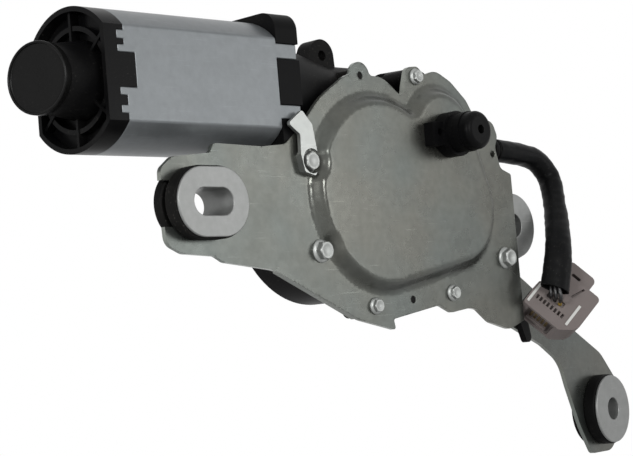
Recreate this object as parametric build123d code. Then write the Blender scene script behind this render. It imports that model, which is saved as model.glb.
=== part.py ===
from build123d import *
from math import atan2, cos, degrees, hypot, pi, radians, sin, tan
import os

# Rear wiper motor: DC motor, worm gear and crank linkage on a pressed mounting plate.
# Millimetres. +Y runs out along the output shaft, +Z is up, +X runs from the motor can to
# the gear case. The origin is on the output-shaft axis, on the guide tube's sealing land.

# ---- fits and clearances
RUNNING_FIT = 0.04          # radial play of a shaft in its bush
LOOSE_GAP = 0.3             # between pieces that move past each other
SCREW_PLAY = 0.25           # radial play of a screw in the plate

# ---- mounting plate
PLATE_Y = -44.0             # front face of the flat sheet
PLATE_T = 1.6
DRAW_DEPTH = 4.0            # height of the heart-shaped draw
DRAW_DRAFT = 24.0           # slope of its wall, degrees
SCALLOP_PLAY = 0.5          # between a screw head and the draw
GASKET_T = 0.6
WHEEL_LOBE = (-33.7, -20.0, 32.9)      # x, z, radius of the draw over the wheel
SHAFT_LOBE = (-1.0, 0.2, 16.7)
LEVER_LOBE = (2.5, -24.5, 22.0)
LARGE_SCREWS = [(-67.4, -10.0), (-64.4, -39.1), (30.7, -43.2)]
SMALL_SCREWS = [(-10.1, 20.8), (-40.5, -57.9), (-0.3, -54.8)]
SCREW_R = 2.0
SCREW_LENGTH = 10.5
LARGE_HEAD = (3.9, 3.2)     # radius, height
SMALL_HEAD = (2.9, 2.2)
LOCATING_HOLES = [(-38.3, 19.9), (-21.2, -56.4), (29.0, -5.4)]
LOCATING_HOLE_R = 1.3
LOCATING_PIN_R = 1.15
LOCATING_LOBE_R = 4.6
LOBE_ROOTS = [(-42.6, 19.2), (-33.6, 20.0)]     # where the lobe leaves the sheet's edge
STEP_X = 38.5               # right edge of the plate, where the arm steps back
STEP_DEPTH = 8.2
STEP_LOW_Z = -66.0          # lower and upper end of the step
STEP_HIGH_Z = -45.0
ARM_LEAN = 7.0              # degrees the arm leans back
HEM_DEPTH = 3.2

# ---- rubber mounts
LEFT_MOUNT = (-115.0, -23.7)
UPPER_MOUNT = (41.2, -31.2)
ARM_MOUNT = (63.6, -102.5)  # along the arm from its step, and height
SLEEVE_BORE_R = 4.25
SLEEVE_WALL = 1.3
WASHER_T = 1.0
LEFT_WASHER_R = 10.8
LEFT_STRETCH = 7.6          # how much longer than round the left mount is
ARM_WASHER_R = 13.0
UPPER_WASHER_R = 11.8
LIP_FRONT = 5.0             # rubber in front of the sheet that holds it
LIP_REAR = 3.7
GROOVE_DEPTH = 2.6
RUBBER_EXTRA = 0.5          # rubber beyond its washer
SLEEVE_BEHIND = 2.7         # sleeve beyond the rubber's rear face
FORK_MOUTH = 14.1
EYE_T = 3.0
EYE_BEHIND_PLATE = 7.0      # cast eye's front face behind the plate's back face

# ---- gear train
MODULE = 1.03
WHEEL_TEETH = 60
WORM_PITCH_R = 4.5
TOOTH_PLAY = 0.27           # on each flank, along the pitch line
MOTOR_Y = -27.0
MOTOR_Z = 15.5
WHEEL_X = -33.5
WHEEL_FACE = 8.0
WORM_TURNS = 8
SHAFT_R = 3.0               # armature shaft
AXLE_R = 4.0
CRANK_R = 8.0
CRANK_PIN_R = 2.5
LEVER_R = 11.0
LEVER_T = 3.4
LINK_T = 3.0
LEVER_PIN_R = 2.5
PIVOT_EYE_R = 5.0
MID_STROKE = -59.3          # direction of crank and lever at mid stroke, degrees
LEVER_SWING = 47.0
OUTPUT_R = 5.0
WATER_BORE_R = 1.6
CONTACTS_AT = (-55.5, -26.0)           # x, z of the park contacts

# ---- gear case
CASE_WALL = 2.4
CHAMBER_PLAY = 0.6          # round the wheel
BOSS_WALL = 1.2             # round each plate screw
CASE_REAR_Y = -8.0
FLOOR_Y = -20.5
TUNNEL_BORE_R = 6.6
TUNNEL_R = 7.9
TUNNEL_NECK_R = 10.2        # wider part next to the neck
TUNNEL_BOSS_R = 11.8        # boss over the worm's end bearing
TUNNEL_END_X = 2.0
TAPER_X = (-25.0, -17.0)    # where the tunnel narrows
COLLAR_T = 10.0             # block that the can is staked to
COLLAR_H = 47.5
STAKE_TABS = [(23.5, 28.4), (3.8, 8.4)]    # heights of the can's tabs on the collar
CASE_LUG = (-43.4, 28.4)
CASE_LUG_R = 5.7
CASE_LUG_HOLE_R = 1.8
SPINDLE_WALL = 1.46         # guide tube outside the bushes
SPINDLE_STEP = 0.6          # shoulder of the guide tube on the case
SPINDLE_SEAT_T = 6.5        # depth of the guide tube in the case
SPINDLE_END_Y = 14.0
SHAFT_END_Y = 40.0
BUSH_WALL = 1.5

# ---- motor
CAN_RIGHT_X = -77.0
CRIMP_TABS = [(25.6, 28.4), (21.6, 24.0), (8.6, 11.2), (3.2, 5.8)]   # heights, at the end cap
CAN_LENGTH = 64.0
CAN_R = 22.3
CAN_FLAT = 17.0             # from the axis to each flat
CAN_WALL = 1.6
CAP_T = 7.5
HUB_R = 12.3
HUB_TIP_R = 10.2
HUB_LENGTH = 10.6
BUMPER_R = 11.1
BUMPER_T = 3.0
BUMPER_TILT = 14.0
CORE_R = 14.2
CORE_LENGTH = 32.0
SLOTS = 12
MAGNET_T = 5.0
COMMUTATOR_R = 6.5
BRUSH_SIZE = 4.4

# ---- water joint
NOZZLE_COLLAR_R = 7.9
NOZZLE_R = 6.65
NOZZLE_LENGTH = 15.0
NOZZLE_LUG = (-8.3, -0.2, 8.4)         # x, z, size

# ---- lead and connector
SLEEVE_R = 4.4
SLEEVING_WALL = 0.7
WIRE_R = 0.7
WIRE_PITCH = 1.9
CABLE_EXIT_X = 30.0
LEAD_ROUTE = [(40.0, -36.1, -2.8), (52.0, -36.3, -3.6), (63.5, -36.8, -5.4),
              (69.6, -38.3, -12.8), (62.3, -45.0, -26.8), (49.9, -54.0, -42.2),
              (44.3, -54.7, -55.8)]
CONNECTOR_AT = (50.1, -53.2, -59.9)    # middle of its broad face
CONNECTOR_ROW_DIR = (0.476, -0.5356, -0.6975)
CONNECTOR_FACE_DIR = (-0.5056, -0.8156, 0.2813)
CONNECTOR_ROW = 21.7
CONNECTOR_H = 20.5
CONNECTOR_T = 11.4
CONNECTOR_WALL = 1.2
MOUTH_X = -2.2
MOUTH_W = 11.4
MOUTH_FLOOR = -2.0
TONGUE_T = 1.4
WIRE_ENTRY_X = -1.9
WIRE_ENTRY_Y = -1.5
WIRE_ENTRY_DEPTH = 1.1
LOCK_DEPTH = 2.4
CLIP_PAD = [(7.0, -62.0, 3.0), (10.6, -72.0, 2.0)]     # along the arm, height, radius
CLIP_T = 2.4

# ---- worked out from the sizes above
PLATE_BACK_Y = PLATE_Y + PLATE_T
CASE_FRONT_Y = PLATE_BACK_Y + GASKET_T
DRAW_Y = PLATE_Y - DRAW_DEPTH
WHEEL_PITCH_R = MODULE * WHEEL_TEETH / 2
WHEEL_TIP_R = WHEEL_PITCH_R + MODULE
WHEEL_ROOT_R = WHEEL_PITCH_R - 1.2 * MODULE
WHEEL_Z = MOTOR_Z - WORM_PITCH_R - WHEEL_PITCH_R
WHEEL_FRONT_Y = MOTOR_Y - WHEEL_FACE / 2
WHEEL_BACK_Y = MOTOR_Y + WHEEL_FACE / 2
WORM_ROOT_R = WORM_PITCH_R - 1.2 * MODULE
WORM_TIP_R = WORM_PITCH_R + MODULE
AXIAL_PITCH = pi * MODULE
TOOTH_HALF = AXIAL_PITCH / 4 - TOOTH_PLAY / 2
LEVER_BACK_Y = WHEEL_FRONT_Y - 0.6
LEVER_Y = LEVER_BACK_Y - LEVER_T
LINK_BACK_Y = LEVER_Y - 0.5
LINK_Y = LINK_BACK_Y - LINK_T
STROKE_X = cos(radians(MID_STROKE))
STROKE_Z = sin(radians(MID_STROKE))
CRANK_PIN = (WHEEL_X + CRANK_R * STROKE_X, WHEEL_Z + CRANK_R * STROKE_Z)
LEVER_PIN = (LEVER_R * STROKE_X, LEVER_R * STROKE_Z)
CAN_LEFT_X = CAN_RIGHT_X - CAN_LENGTH
CAP_LEFT_X = CAN_LEFT_X - CAP_T
CORE_RIGHT_X = CAN_RIGHT_X - 22.0
CORE_LEFT_X = CORE_RIGHT_X - CORE_LENGTH
ARM_Y = PLATE_Y + STEP_DEPTH
EYE_Y = PLATE_BACK_Y + EYE_BEHIND_PLATE
BUSH_R = OUTPUT_R + RUNNING_FIT + BUSH_WALL
SPINDLE_R = BUSH_R + SPINDLE_WALL


# ======== building blocks
def slab(sketch, y_front, y_back):
    """Extrude an x-z sketch between two y planes."""
    return extrude(Plane.XZ.offset(-y_back) * sketch, y_back - y_front)


def bar(sketch, x_left, x_right):
    """Extrude a y-z sketch, centred on the motor axis, between two x planes."""
    return extrude(Plane.YZ.offset(x_left) * (Pos(MOTOR_Y, MOTOR_Z) * sketch), x_right - x_left)


def disc(x, z, radius):
    return Pos(x, z) * Circle(radius)


def peg(x, z, radius, y_front, y_back):
    """Cylinder along Y."""
    return slab(disc(x, z, radius), y_front, y_back)


def rod(radius, x_left, x_right):
    """Cylinder on the motor axis."""
    return bar(Circle(radius), x_left, x_right)


def tube(outer, inner, x_left, x_right):
    return bar(Circle(outer) - Circle(inner), x_left, x_right)


def grown(circle, extra):
    return (circle[0], circle[1], circle[2] + extra)


def hull_of(*circles):
    """Outline drawn tight round circles given as (x, z, radius)."""
    return make_hull([edge for circle in circles for edge in disc(*circle).edges()])


def rounded(corners):
    """Closed outline through (x, z, corner radius) points."""
    points = [(x, z) for x, z, _ in corners]
    return make_face(FilletPolyline(*points, radius=[r for _, _, r in corners], close=True))


def stadium(radius, stretch):
    """Round outline at the sketch origin, pulled out along x by the stretch."""
    if stretch == 0:
        return Circle(radius)
    return SlotCenterToCenter(stretch, 2 * radius)


def double_d(radius, flat):
    """Circle with two flats facing -Y and +Y."""
    return Circle(radius) & Rectangle(2 * flat, 2 * radius + 2)


def save(name, *shapes):
    """Write the solids of the shapes as one node."""
    solids = [solid for shape in shapes for solid in shape.solids()]
    node = solids[0] if len(solids) == 1 else Compound(children=solids)
    node.label = name
    export_step(node, "parts/" + name + ".step")


# ======== mounting plate
def heart_outline(extra=0.0):
    """Wheel lobe joined to the shaft and lever lobes, with a sharp valley on top."""
    wheel, spindle, lever = (grown(c, extra) for c in (WHEEL_LOBE, SHAFT_LOBE, LEVER_LOBE))
    below = Pos(0, LEVER_LOBE[1] - 50.0) * Rectangle(200, 100)
    return disc(*wheel) + (hull_of(wheel, lever) & below) + hull_of(spindle, lever)


def draw_outline(extra=0.0):
    """Outline of the draw, with its valley rounded and a scallop beside two screws."""
    heart = heart_outline(extra)
    valley = heart.vertices().sort_by_distance((-16.0, 7.0))[0]
    heart = fillet(valley, 4.0)
    for x, z in LARGE_SCREWS[:2]:
        heart -= disc(x, z, LARGE_HEAD[0] + SCALLOP_PLAY - extra)
    return heart


def plate_outline():
    """Flat sheet with ear, flange round the gear case and right-hand lug."""
    x, z = LEFT_MOUNT
    ear = [(x - 15.9, z - 1.0, 2), (x - 15.6, z + 10.5, 3), (x - 10.5, z + 14.4, 4),
           (x + 5.3, z + 15.8, 2), (x + 6.8, z + 18.9, 2)]
    top = [(-87.2, -5.4, 9), (-76.7, -4.4, 4), (-66.8, 3.6, 1.5), (-58.7, 11.6, 30),
           (-44.7, 20.0, 8), (-27.2, 20.0, 12), (-18.0, 13.4, 1.2), (-14.4, 24.0, 3),
           (-8.6, 24.6, 3), (-5.0, 21.6, 2.5), (0.4, 23.9, 8), (8.8, 20.0, 10),
           (16.6, 13.6, 8), (19.4, 9.2, 4), (30.5, 6.2, 4),
           (32.6, 1.2, 3), (30.7, -3.0, 3), (32.8, -10.6, 3), (STEP_X, -12.6, 1)]
    low = [(STEP_X, STEP_LOW_Z, 1), (29.8, -68.9, 6), (18.8, -65.8, 6), (12.4, -61.0, 4),
           (8.4, -60.4, 4), (-1.5, -61.6, 3), (-7.6, -58.8, 4), (-32.0, -62.6, 0.8),
           (-31.2, -66.3, 0.8), (-48.7, -62.2, 12), (-85.9, -44.8, 14)]
    foot = [(x + 7.6, z - 18.2, 3), (x + 4.0, z - 16.2, 3), (x - 9.0, z - 15.3, 5),
            (x - 15.3, z - 12.4, 4)]
    sheet = rounded(ear + top + low + foot)
    lobe = sheet + disc(LOCATING_HOLES[0][0], LOCATING_HOLES[0][1], LOCATING_LOBE_R)
    roots = [lobe.vertices().sort_by_distance(spot)[0] for spot in LOBE_ROOTS]
    return fillet(roots, 2.0)


def fork_gap():
    """Gap that the left rubber is pushed into from the ear's open end."""
    seat = stadium(LEFT_WASHER_R + RUBBER_EXTRA - GROOVE_DEPTH, LEFT_STRETCH)
    mouth = Pos(-20, 0) * Rectangle(40, FORK_MOUTH)
    return Pos(*LEFT_MOUNT) * (seat + mouth)


def arm_plane(depth=0.0):
    """Plane behind the arm's front face: x runs along the arm, y is up."""
    lean = radians(ARM_LEAN)
    plane = Plane(origin=(STEP_X, ARM_Y, 0), x_dir=(cos(lean), sin(lean), 0),
                  z_dir=(sin(lean), -cos(lean), 0))
    return plane.offset(-depth)


def arm_slab(sketch, front, back):
    """Extrude an arm sketch between two depths behind the arm's front face."""
    return extrude(arm_plane(back) * sketch, back - front)


def arm_outline():
    x, z = ARM_MOUNT
    return rounded([(-1.2, STEP_HIGH_Z, 0.4), (10.5, -48.6, 16), (20.5, -54.0, 30), (49.0, -71.0, 30), (68.0, -80.6, 14),
                    (x + 16.0, z + 10.0, 8), (x + 17.0, z - 8.0, 9), (x + 6.0, z - 16.4, 8),
                    (x - 9.0, z - 16.4, 3), (47.0, -107.4, 30), (40.0, -92.0, 20),
                    (36.5, -82.5, 14), (24.0, -75.5, 16), (-1.2, STEP_LOW_Z, 0.4)])


def step_wall():
    """Wall between the plate's right edge and the arm."""
    middle = (STEP_LOW_Z + STEP_HIGH_Z) / 2
    wall = Pos(STEP_X - PLATE_T / 2, middle) * Rectangle(PLATE_T, STEP_HIGH_Z - STEP_LOW_Z)
    return slab(wall, PLATE_Y, ARM_Y + PLATE_T)


def hem():
    """Edge bent back along the lower left side."""
    start, end = (-84.0, -45.7), (-49.5, -61.9)
    length = hypot(end[0] - start[0], end[1] - start[1])
    turn = degrees(atan2(end[1] - start[1], end[0] - start[0]))
    middle = ((start[0] + end[0]) / 2, (start[1] + end[1]) / 2)
    strip = Pos(*middle) * Rot(0, 0, turn) * Pos(0, PLATE_T / 2 + 0.2) * Rectangle(length, PLATE_T)
    return slab(strip, PLATE_Y, PLATE_Y + HEM_DEPTH)


def draw_block(inset, y_base):
    """Solid of the draw standing on a plane, drafted towards its top."""
    narrowing = DRAW_DEPTH * tan(radians(DRAW_DRAFT))
    base = Plane.XZ.offset(-y_base) * draw_outline(-inset)
    top = Plane.XZ.offset(DRAW_DEPTH - y_base) * draw_outline(-inset - narrowing)
    return loft([base.face(), top.face()], ruled=True)


def mounting_plate():
    flat = slab(plate_outline(), PLATE_Y, PLATE_BACK_Y)
    draw = draw_block(0, PLATE_Y)
    draw = fillet(draw.faces().sort_by(Axis.Y)[0].edges(), 1.0)
    plate = flat + draw - draw_block(PLATE_T * 0.7, PLATE_BACK_Y)
    plate += step_wall() + arm_slab(arm_outline(), 0, PLATE_T)
    plate += hem()
    plate -= slab(fork_gap(), PLATE_Y - 1, PLATE_BACK_Y + 1)
    seat = disc(*ARM_MOUNT, ARM_WASHER_R + RUBBER_EXTRA - GROOVE_DEPTH)
    plate -= arm_slab(seat, -1, PLATE_T + 1)
    for x, z in LARGE_SCREWS + SMALL_SCREWS:
        plate -= peg(x, z, SCREW_R + SCREW_PLAY, PLATE_Y - 1, PLATE_BACK_Y + 1)
    for x, z in LOCATING_HOLES:
        plate -= peg(x, z, LOCATING_HOLE_R, PLATE_Y - 1, PLATE_BACK_Y + 1)
    plate -= peg(0, 0, NOZZLE_R - 2.6, DRAW_Y - 1, PLATE_BACK_Y)
    return plate


def plate_gasket():
    """Flat gasket on the gear case's rim."""
    ring = chamber_outline(CASE_WALL) - chamber_outline(0.3)
    for x, z in LARGE_SCREWS + SMALL_SCREWS:
        ring += disc(x, z, SCREW_R + BOSS_WALL)
        ring -= disc(x, z, SCREW_R + SCREW_PLAY)
    for x, z in LOCATING_HOLES:
        ring -= disc(x, z, LOCATING_HOLE_R)
    return slab(ring, PLATE_BACK_Y, CASE_FRONT_Y)


def plate_screw(x, z, head):
    """Flanged screw with a hexagon head, driven towards +Y."""
    radius, height = head
    seat_y = PLATE_Y
    body = peg(x, z, SCREW_R, seat_y - 0.5, seat_y + SCREW_LENGTH)
    body += peg(x, z, radius, seat_y - 1.0, seat_y)
    hexagon = Pos(x, z) * RegularPolygon(radius * 0.86, 6)
    crown = slab(hexagon, seat_y - height, seat_y - 0.9)
    crown = chamfer(crown.faces().sort_by(Axis.Y)[0].edges(), 0.35)
    body += crown
    return body - peg(x, z, radius * 0.42, seat_y - height, seat_y - height + 0.7)


def clamp_clip():
    """Spring strip from the upper left screw to the can's lower corner."""
    x, z = LARGE_SCREWS[0]
    head = LARGE_HEAD[0] + 0.2
    profile = [(-9.6, 12.0), (-3.0, 16.5), (1.2, 12.0), (2.6, 3.2), (3.8, -1.0),
               (1.0, -4.8), (-3.6, -3.6), (-5.0, 2.2), (-4.6, 8.6)]
    outline = rounded([(x + dx, z + dz, 0.9) for dx, dz in profile])
    strip = slab(outline, PLATE_Y - 2.6, PLATE_Y - 1.2)
    foot = rounded([(x + 2.6, z + 3.2, 0.5), (x + 3.8, z - 1.0, 0.5), (x + 1.0, z - 4.8, 0.5),
                    (x - 3.6, z - 3.6, 0.5), (x - 5.0, z + 2.2, 0.5)])
    strip += slab(foot, PLATE_Y - 1.3, PLATE_Y)
    return strip - peg(x, z, head, PLATE_Y - 4, PLATE_Y + 1)


# ======== rubber mounts, drawn with the holding sheet's front face at y = 0
def mount_rubber(washer_r, stretch, sheet_t):
    outer = washer_r + RUBBER_EXTRA
    rubber = slab(stadium(outer, stretch), -LIP_FRONT, sheet_t + LIP_REAR)
    groove = stadium(outer + 1, stretch) - stadium(outer - GROOVE_DEPTH, stretch)
    rubber -= slab(groove, 0, sheet_t)
    hole = stadium(SLEEVE_BORE_R + SLEEVE_WALL, stretch)
    return rubber - slab(hole, -LIP_FRONT - 1, sheet_t + LIP_REAR + 1)


def mount_sleeve(washer_r, stretch, sheet_t):
    rear = sheet_t + LIP_REAR + SLEEVE_BEHIND
    front = -LIP_FRONT - WASHER_T
    sleeve = slab(stadium(SLEEVE_BORE_R + SLEEVE_WALL, stretch), front, rear)
    sleeve += slab(stadium(washer_r, stretch), front, -LIP_FRONT)
    return sleeve - slab(stadium(SLEEVE_BORE_R, stretch), front - 1, rear + 1)


def at_left(shape):
    return Pos(LEFT_MOUNT[0], PLATE_Y, LEFT_MOUNT[1]) * shape


def at_upper(shape):
    return Pos(UPPER_MOUNT[0], EYE_Y, UPPER_MOUNT[1]) * shape


def at_arm(shape):
    spot = arm_plane().from_local_coords(Vector(*ARM_MOUNT, 0))
    return Pos(spot.X, spot.Y, spot.Z) * Rot(0, 0, ARM_LEAN) * shape


# ======== gear case
def chamber_outline(extra=0.0):
    """Room for wheel, lever and link."""
    room = disc(WHEEL_X, WHEEL_Z, WHEEL_TIP_R + CHAMBER_PLAY + extra)
    return heart_outline(extra - CHAMBER_PLAY) + room


def wall_foot(x, z):
    """Small circle on the chamber wall, on the way in from a point outside."""
    lobe = WHEEL_LOBE if x < WHEEL_X / 2 and z < 15 else LEVER_LOBE if x > -5 else SHAFT_LOBE
    reach = hypot(lobe[0] - x, lobe[1] - z)
    part = (lobe[2] + 1.0) / reach
    return (lobe[0] + (x - lobe[0]) * part, lobe[1] + (z - lobe[1]) * part, 2.4)


def screw_boss(x, z):
    """Boss tied to the chamber wall by a web."""
    outline = hull_of((x, z, SCREW_R + BOSS_WALL), wall_foot(x, z))
    return slab(outline, CASE_FRONT_Y, CASE_FRONT_Y + SCREW_LENGTH)


def locating_pin(x, z):
    """Pin in the plate's hole, on a pad that reaches the tunnel or the chamber wall."""
    pad = disc(x, z, LOCATING_PIN_R + 1.6)
    if z < MOTOR_Z - TUNNEL_NECK_R:
        pad = hull_of((x, z, LOCATING_PIN_R + 1.6), wall_foot(x, z))
    return slab(pad, CASE_FRONT_Y, CASE_FRONT_Y + 8.2) + peg(x, z, LOCATING_PIN_R, PLATE_Y + 0.3, CASE_FRONT_Y)


def case_collar():
    """Block that the can is staked to, with a recess for each staking tab."""
    block = bar(RectangleRounded(2 * CAN_FLAT, COLLAR_H, 6), CAN_RIGHT_X, CAN_RIGHT_X + COLLAR_T)
    for low, high in STAKE_TABS:
        middle = (low + high) / 2 - MOTOR_Z
        pocket = Pos(-CAN_FLAT, middle) * Rectangle(2 * CAN_WALL, high - low + 0.4)
        block -= bar(pocket, CAN_RIGHT_X - 1, CAN_RIGHT_X + COLLAR_T + 1)
    return block - slab(plate_outline(), PLATE_Y - 1, CASE_FRONT_Y)


def case_neck():
    """Tapering neck between the collar and the gear chamber."""
    near = Plane.YZ.offset(CAN_RIGHT_X + COLLAR_T - 0.1) * (Pos(MOTOR_Y, MOTOR_Z) * Circle(16.5))
    far = Plane.YZ.offset(WHEEL_X - 8.0) * (Pos(MOTOR_Y, MOTOR_Z) * Circle(TUNNEL_NECK_R))
    return loft([near.face(), far.face()])


def worm_tunnel():
    """Tube round the worm, wider next to the neck and at its far bearing."""
    tunnel = rod(TUNNEL_NECK_R, WHEEL_X - 9.0, TAPER_X[0]) + rod(TUNNEL_R, WHEEL_X - 9.0, TUNNEL_END_X)
    ends = [(TAPER_X[0] - 0.5, TUNNEL_NECK_R), (TAPER_X[1], TUNNEL_R),
            (TUNNEL_END_X - 11.0, TUNNEL_R + 1.4), (TUNNEL_END_X + 4.0, TUNNEL_BOSS_R)]
    rings = [(Plane.YZ.offset(x) * (Pos(MOTOR_Y, MOTOR_Z) * Circle(r))).face() for x, r in ends]
    return tunnel + loft(rings[:2]) + loft(rings[2:])


def rear_pockets():
    """Pockets between the ribs on the rear face."""
    ring = disc(WHEEL_X, WHEEL_Z, 27.0) - disc(WHEEL_X, WHEEL_Z, 10.0)
    for turn in (11, 56, 101, 146):
        ring -= Pos(WHEEL_X, WHEEL_Z) * Rot(0, 0, turn) * Rectangle(70, 2.4)
    ring -= disc(0, 0, SPINDLE_R + 5.0)
    ring -= Pos(WHEEL_X, MOTOR_Z) * Rectangle(90, 2 * TUNNEL_NECK_R + 3.4)
    return slab(ring, FLOOR_Y + 2.6, CASE_REAR_Y + 1)


def case_lug():
    x, z = CASE_LUG
    foot_z = MOTOR_Z + 6.0
    web = hull_of((x, z, CASE_LUG_R), (x - 3.0, foot_z, 6.0), (x + 0.4, foot_z, CASE_LUG_R))
    return slab(web, MOTOR_Y - 5.0, MOTOR_Y + 1.5)


def upper_eye():
    x, z = UPPER_MOUNT
    ring = UPPER_WASHER_R + RUBBER_EXTRA - GROOVE_DEPTH + 3.2
    return slab(hull_of((x, z, ring), (18.0, z, 9.0)), EYE_Y, EYE_Y + EYE_T)


def cable_outlet(radius, x_left, x_right):
    """Cylinder along the lead's first straight."""
    centre = (LEAD_ROUTE[0][1] - MOTOR_Y, LEAD_ROUTE[0][2] - MOTOR_Z)
    return bar(Pos(*centre) * Circle(radius), x_left, x_right)


def gear_housing():
    case = slab(chamber_outline(CASE_WALL), CASE_FRONT_Y, CASE_REAR_Y)
    for x, z in LARGE_SCREWS + SMALL_SCREWS:
        case += screw_boss(x, z)
    case += case_collar() + case_neck() + worm_tunnel()
    case += case_lug() + upper_eye()
    for x, z in LOCATING_HOLES[:2]:
        case += locating_pin(x, z)
    case += cable_outlet(SLEEVE_R + 0.6, 12.0, CABLE_EXIT_X - 2.0)
    case -= slab(chamber_outline(), CASE_FRONT_Y - 1, FLOOR_Y)
    case += worm_guard()
    case += peg(WHEEL_X, WHEEL_Z, AXLE_R + 3.0, WHEEL_BACK_Y + 0.5, FLOOR_Y + 1)
    case -= rear_pockets()
    case -= rod(TUNNEL_BORE_R, CAN_RIGHT_X + 7.0, TUNNEL_END_X - 10.0)
    case -= rod(SHAFT_R + RUNNING_FIT + BUSH_WALL, CAN_RIGHT_X - 1, TUNNEL_END_X - 2.0)
    case -= wheel_room()
    case -= peg(0, 0, BUSH_R, FLOOR_Y - 6, CASE_REAR_Y + 1)
    case -= peg(0, 0, SPINDLE_R - SPINDLE_STEP, CASE_REAR_Y - SPINDLE_SEAT_T, CASE_REAR_Y + 1)
    case -= peg(WHEEL_X, WHEEL_Z, AXLE_R, WHEEL_BACK_Y, FLOOR_Y + 7.0)
    for x, z in LARGE_SCREWS + SMALL_SCREWS:
        case -= peg(x, z, SCREW_R, CASE_FRONT_Y - 1, CASE_FRONT_Y + SCREW_LENGTH - 1.0)
    case -= peg(*CASE_LUG, CASE_LUG_HOLE_R, MOTOR_Y - 12.0, MOTOR_Y + 8.0)
    eye_hole = UPPER_WASHER_R + RUBBER_EXTRA - GROOVE_DEPTH
    case -= peg(*UPPER_MOUNT, eye_hole, EYE_Y - 1, EYE_Y + EYE_T + 1)
    case -= cable_outlet(SLEEVE_R - 0.9, 10.0, CABLE_EXIT_X)
    return case


def worm_guard():
    """Tunnel wall inside the chamber, round the worm."""
    shell = rod(TUNNEL_BORE_R + 1.8, WHEEL_X - 22.0, TUNNEL_END_X - 4.0)
    return shell & slab(chamber_outline(1.0), CASE_FRONT_Y, FLOOR_Y)


def wheel_room():
    """Turning space of the wheel, cut out of the worm's tunnel wall."""
    return peg(WHEEL_X, WHEEL_Z, WHEEL_TIP_R + CHAMBER_PLAY, WHEEL_FRONT_Y - 0.5, FLOOR_Y)


# ======== worm and wheel
def tooth_profile(base, tip, pitch, flip):
    """Trapezoid of a tooth: height is x for the worm and y for the wheel."""
    slope = tan(radians(20))
    low = TOOTH_HALF + (pitch - base) * slope
    high = TOOTH_HALF - (tip - pitch) * slope
    points = [(base, -low), (tip, -high), (tip, high), (base, low), (base, -low)]
    if flip:
        points = [(a, h) for h, a in points]
    return make_face(Polyline(*points))


def worm_thread():
    """Helical thread with its crest under the axis at the wheel's centre."""
    length = WORM_TURNS * AXIAL_PITCH
    path = Helix(pitch=AXIAL_PITCH, height=length, radius=WORM_PITCH_R)
    profile = Plane.XZ * tooth_profile(WORM_ROOT_R - 0.2, WORM_TIP_R, WORM_PITCH_R, False)
    thread = sweep(profile, path=path, is_frenet=True)
    return Pos(WHEEL_X - length / 2, MOTOR_Y, MOTOR_Z) * Rot(0, 90, 0) * thread


def armature_shaft():
    half = WORM_TURNS * AXIAL_PITCH / 2
    shaft = rod(SHAFT_R, CAP_LEFT_X + 2.0, TUNNEL_END_X - 3.4)
    shaft += rod(WORM_ROOT_R, WHEEL_X - half - 1.5, WHEEL_X + half + 1.5)
    return shaft + worm_thread()


def worm_wheel():
    """Wheel whose tooth gap faces the worm at rest, with slanted teeth."""
    slant = MODULE / (2 * WORM_PITCH_R)
    blank = Circle(WHEEL_ROOT_R) - Circle(AXLE_R + RUNNING_FIT)
    wheel = slab(Pos(WHEEL_X, WHEEL_Z) * blank, WHEEL_FRONT_Y, WHEEL_BACK_Y)
    web = Circle(WHEEL_ROOT_R - 3.0) - Circle(CRANK_R + 6.5)
    wheel -= slab(Pos(WHEEL_X, WHEEL_Z) * web, WHEEL_BACK_Y - 4.5, WHEEL_BACK_Y)
    profile = tooth_profile(WHEEL_ROOT_R - 0.4, WHEEL_TIP_R, WHEEL_PITCH_R, True)
    face = Plane.XZ.offset(-WHEEL_BACK_Y) * (Pos(slant * WHEEL_FACE / 2, 0) * profile)
    lean = Vector(-slant, -1, 0)
    tooth = Solid.extrude(face.face(), lean * WHEEL_FACE)
    step = 360 / WHEEL_TEETH
    teeth = [Pos(WHEEL_X, 0, WHEEL_Z) * Rot(0, (k + 0.5) * step, 0) * tooth
             for k in range(WHEEL_TEETH)]
    wheel += teeth
    return wheel - peg(*CRANK_PIN, CRANK_PIN_R, WHEEL_FRONT_Y - 1, WHEEL_BACK_Y + 1)


def contact_disc():
    """Copper track on the wheel's face that parks the blade."""
    track = Circle(26.5) - Circle(17.5)
    track -= Rot(0, 0, 20) * Pos(22.5, 0) * Rectangle(4.5, 9.0)
    place = Pos(WHEEL_X, WHEEL_Z) * track
    return slab(place, WHEEL_FRONT_Y - 0.4, WHEEL_FRONT_Y)


def contact_carrier():
    """Insulating block inside the draw that holds the park contacts."""
    x, z = CONTACTS_AT
    block = Pos(x, z) * RectangleRounded(9.0, 13.0, 1.0)
    return slab(block, DRAW_Y + PLATE_T, DRAW_Y + PLATE_T + 3.2)


def contact_fingers():
    """Three sprung fingers that reach down to the contact disc."""
    x, z = CONTACTS_AT
    top = DRAW_Y + PLATE_T + 3.2
    fingers = []
    for k in (-1, 0, 1):
        leg = slab(Pos(x + 2.5, z + 4.0 * k) * Rectangle(0.4, 2.0), top, WHEEL_FRONT_Y - 0.7)
        foot = slab(Pos(x + 0.6, z + 4.0 * k) * Rectangle(4.2, 2.0), WHEEL_FRONT_Y - 1.1,
                    WHEEL_FRONT_Y - 0.7)
        fingers.append(leg + foot)
    return fingers


def crank_pin():
    return peg(*CRANK_PIN, CRANK_PIN_R, LINK_Y, WHEEL_BACK_Y)


def wheel_axle():
    axle = peg(WHEEL_X, WHEEL_Z, AXLE_R, WHEEL_FRONT_Y - 1.6, FLOOR_Y + 7.0)
    return axle - peg(WHEEL_X, WHEEL_Z, AXLE_R + 1, WHEEL_FRONT_Y - 1.0, WHEEL_FRONT_Y - 0.4) + \
        peg(WHEEL_X, WHEEL_Z, AXLE_R - 0.6, WHEEL_FRONT_Y - 1.6, FLOOR_Y + 7.0)


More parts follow.
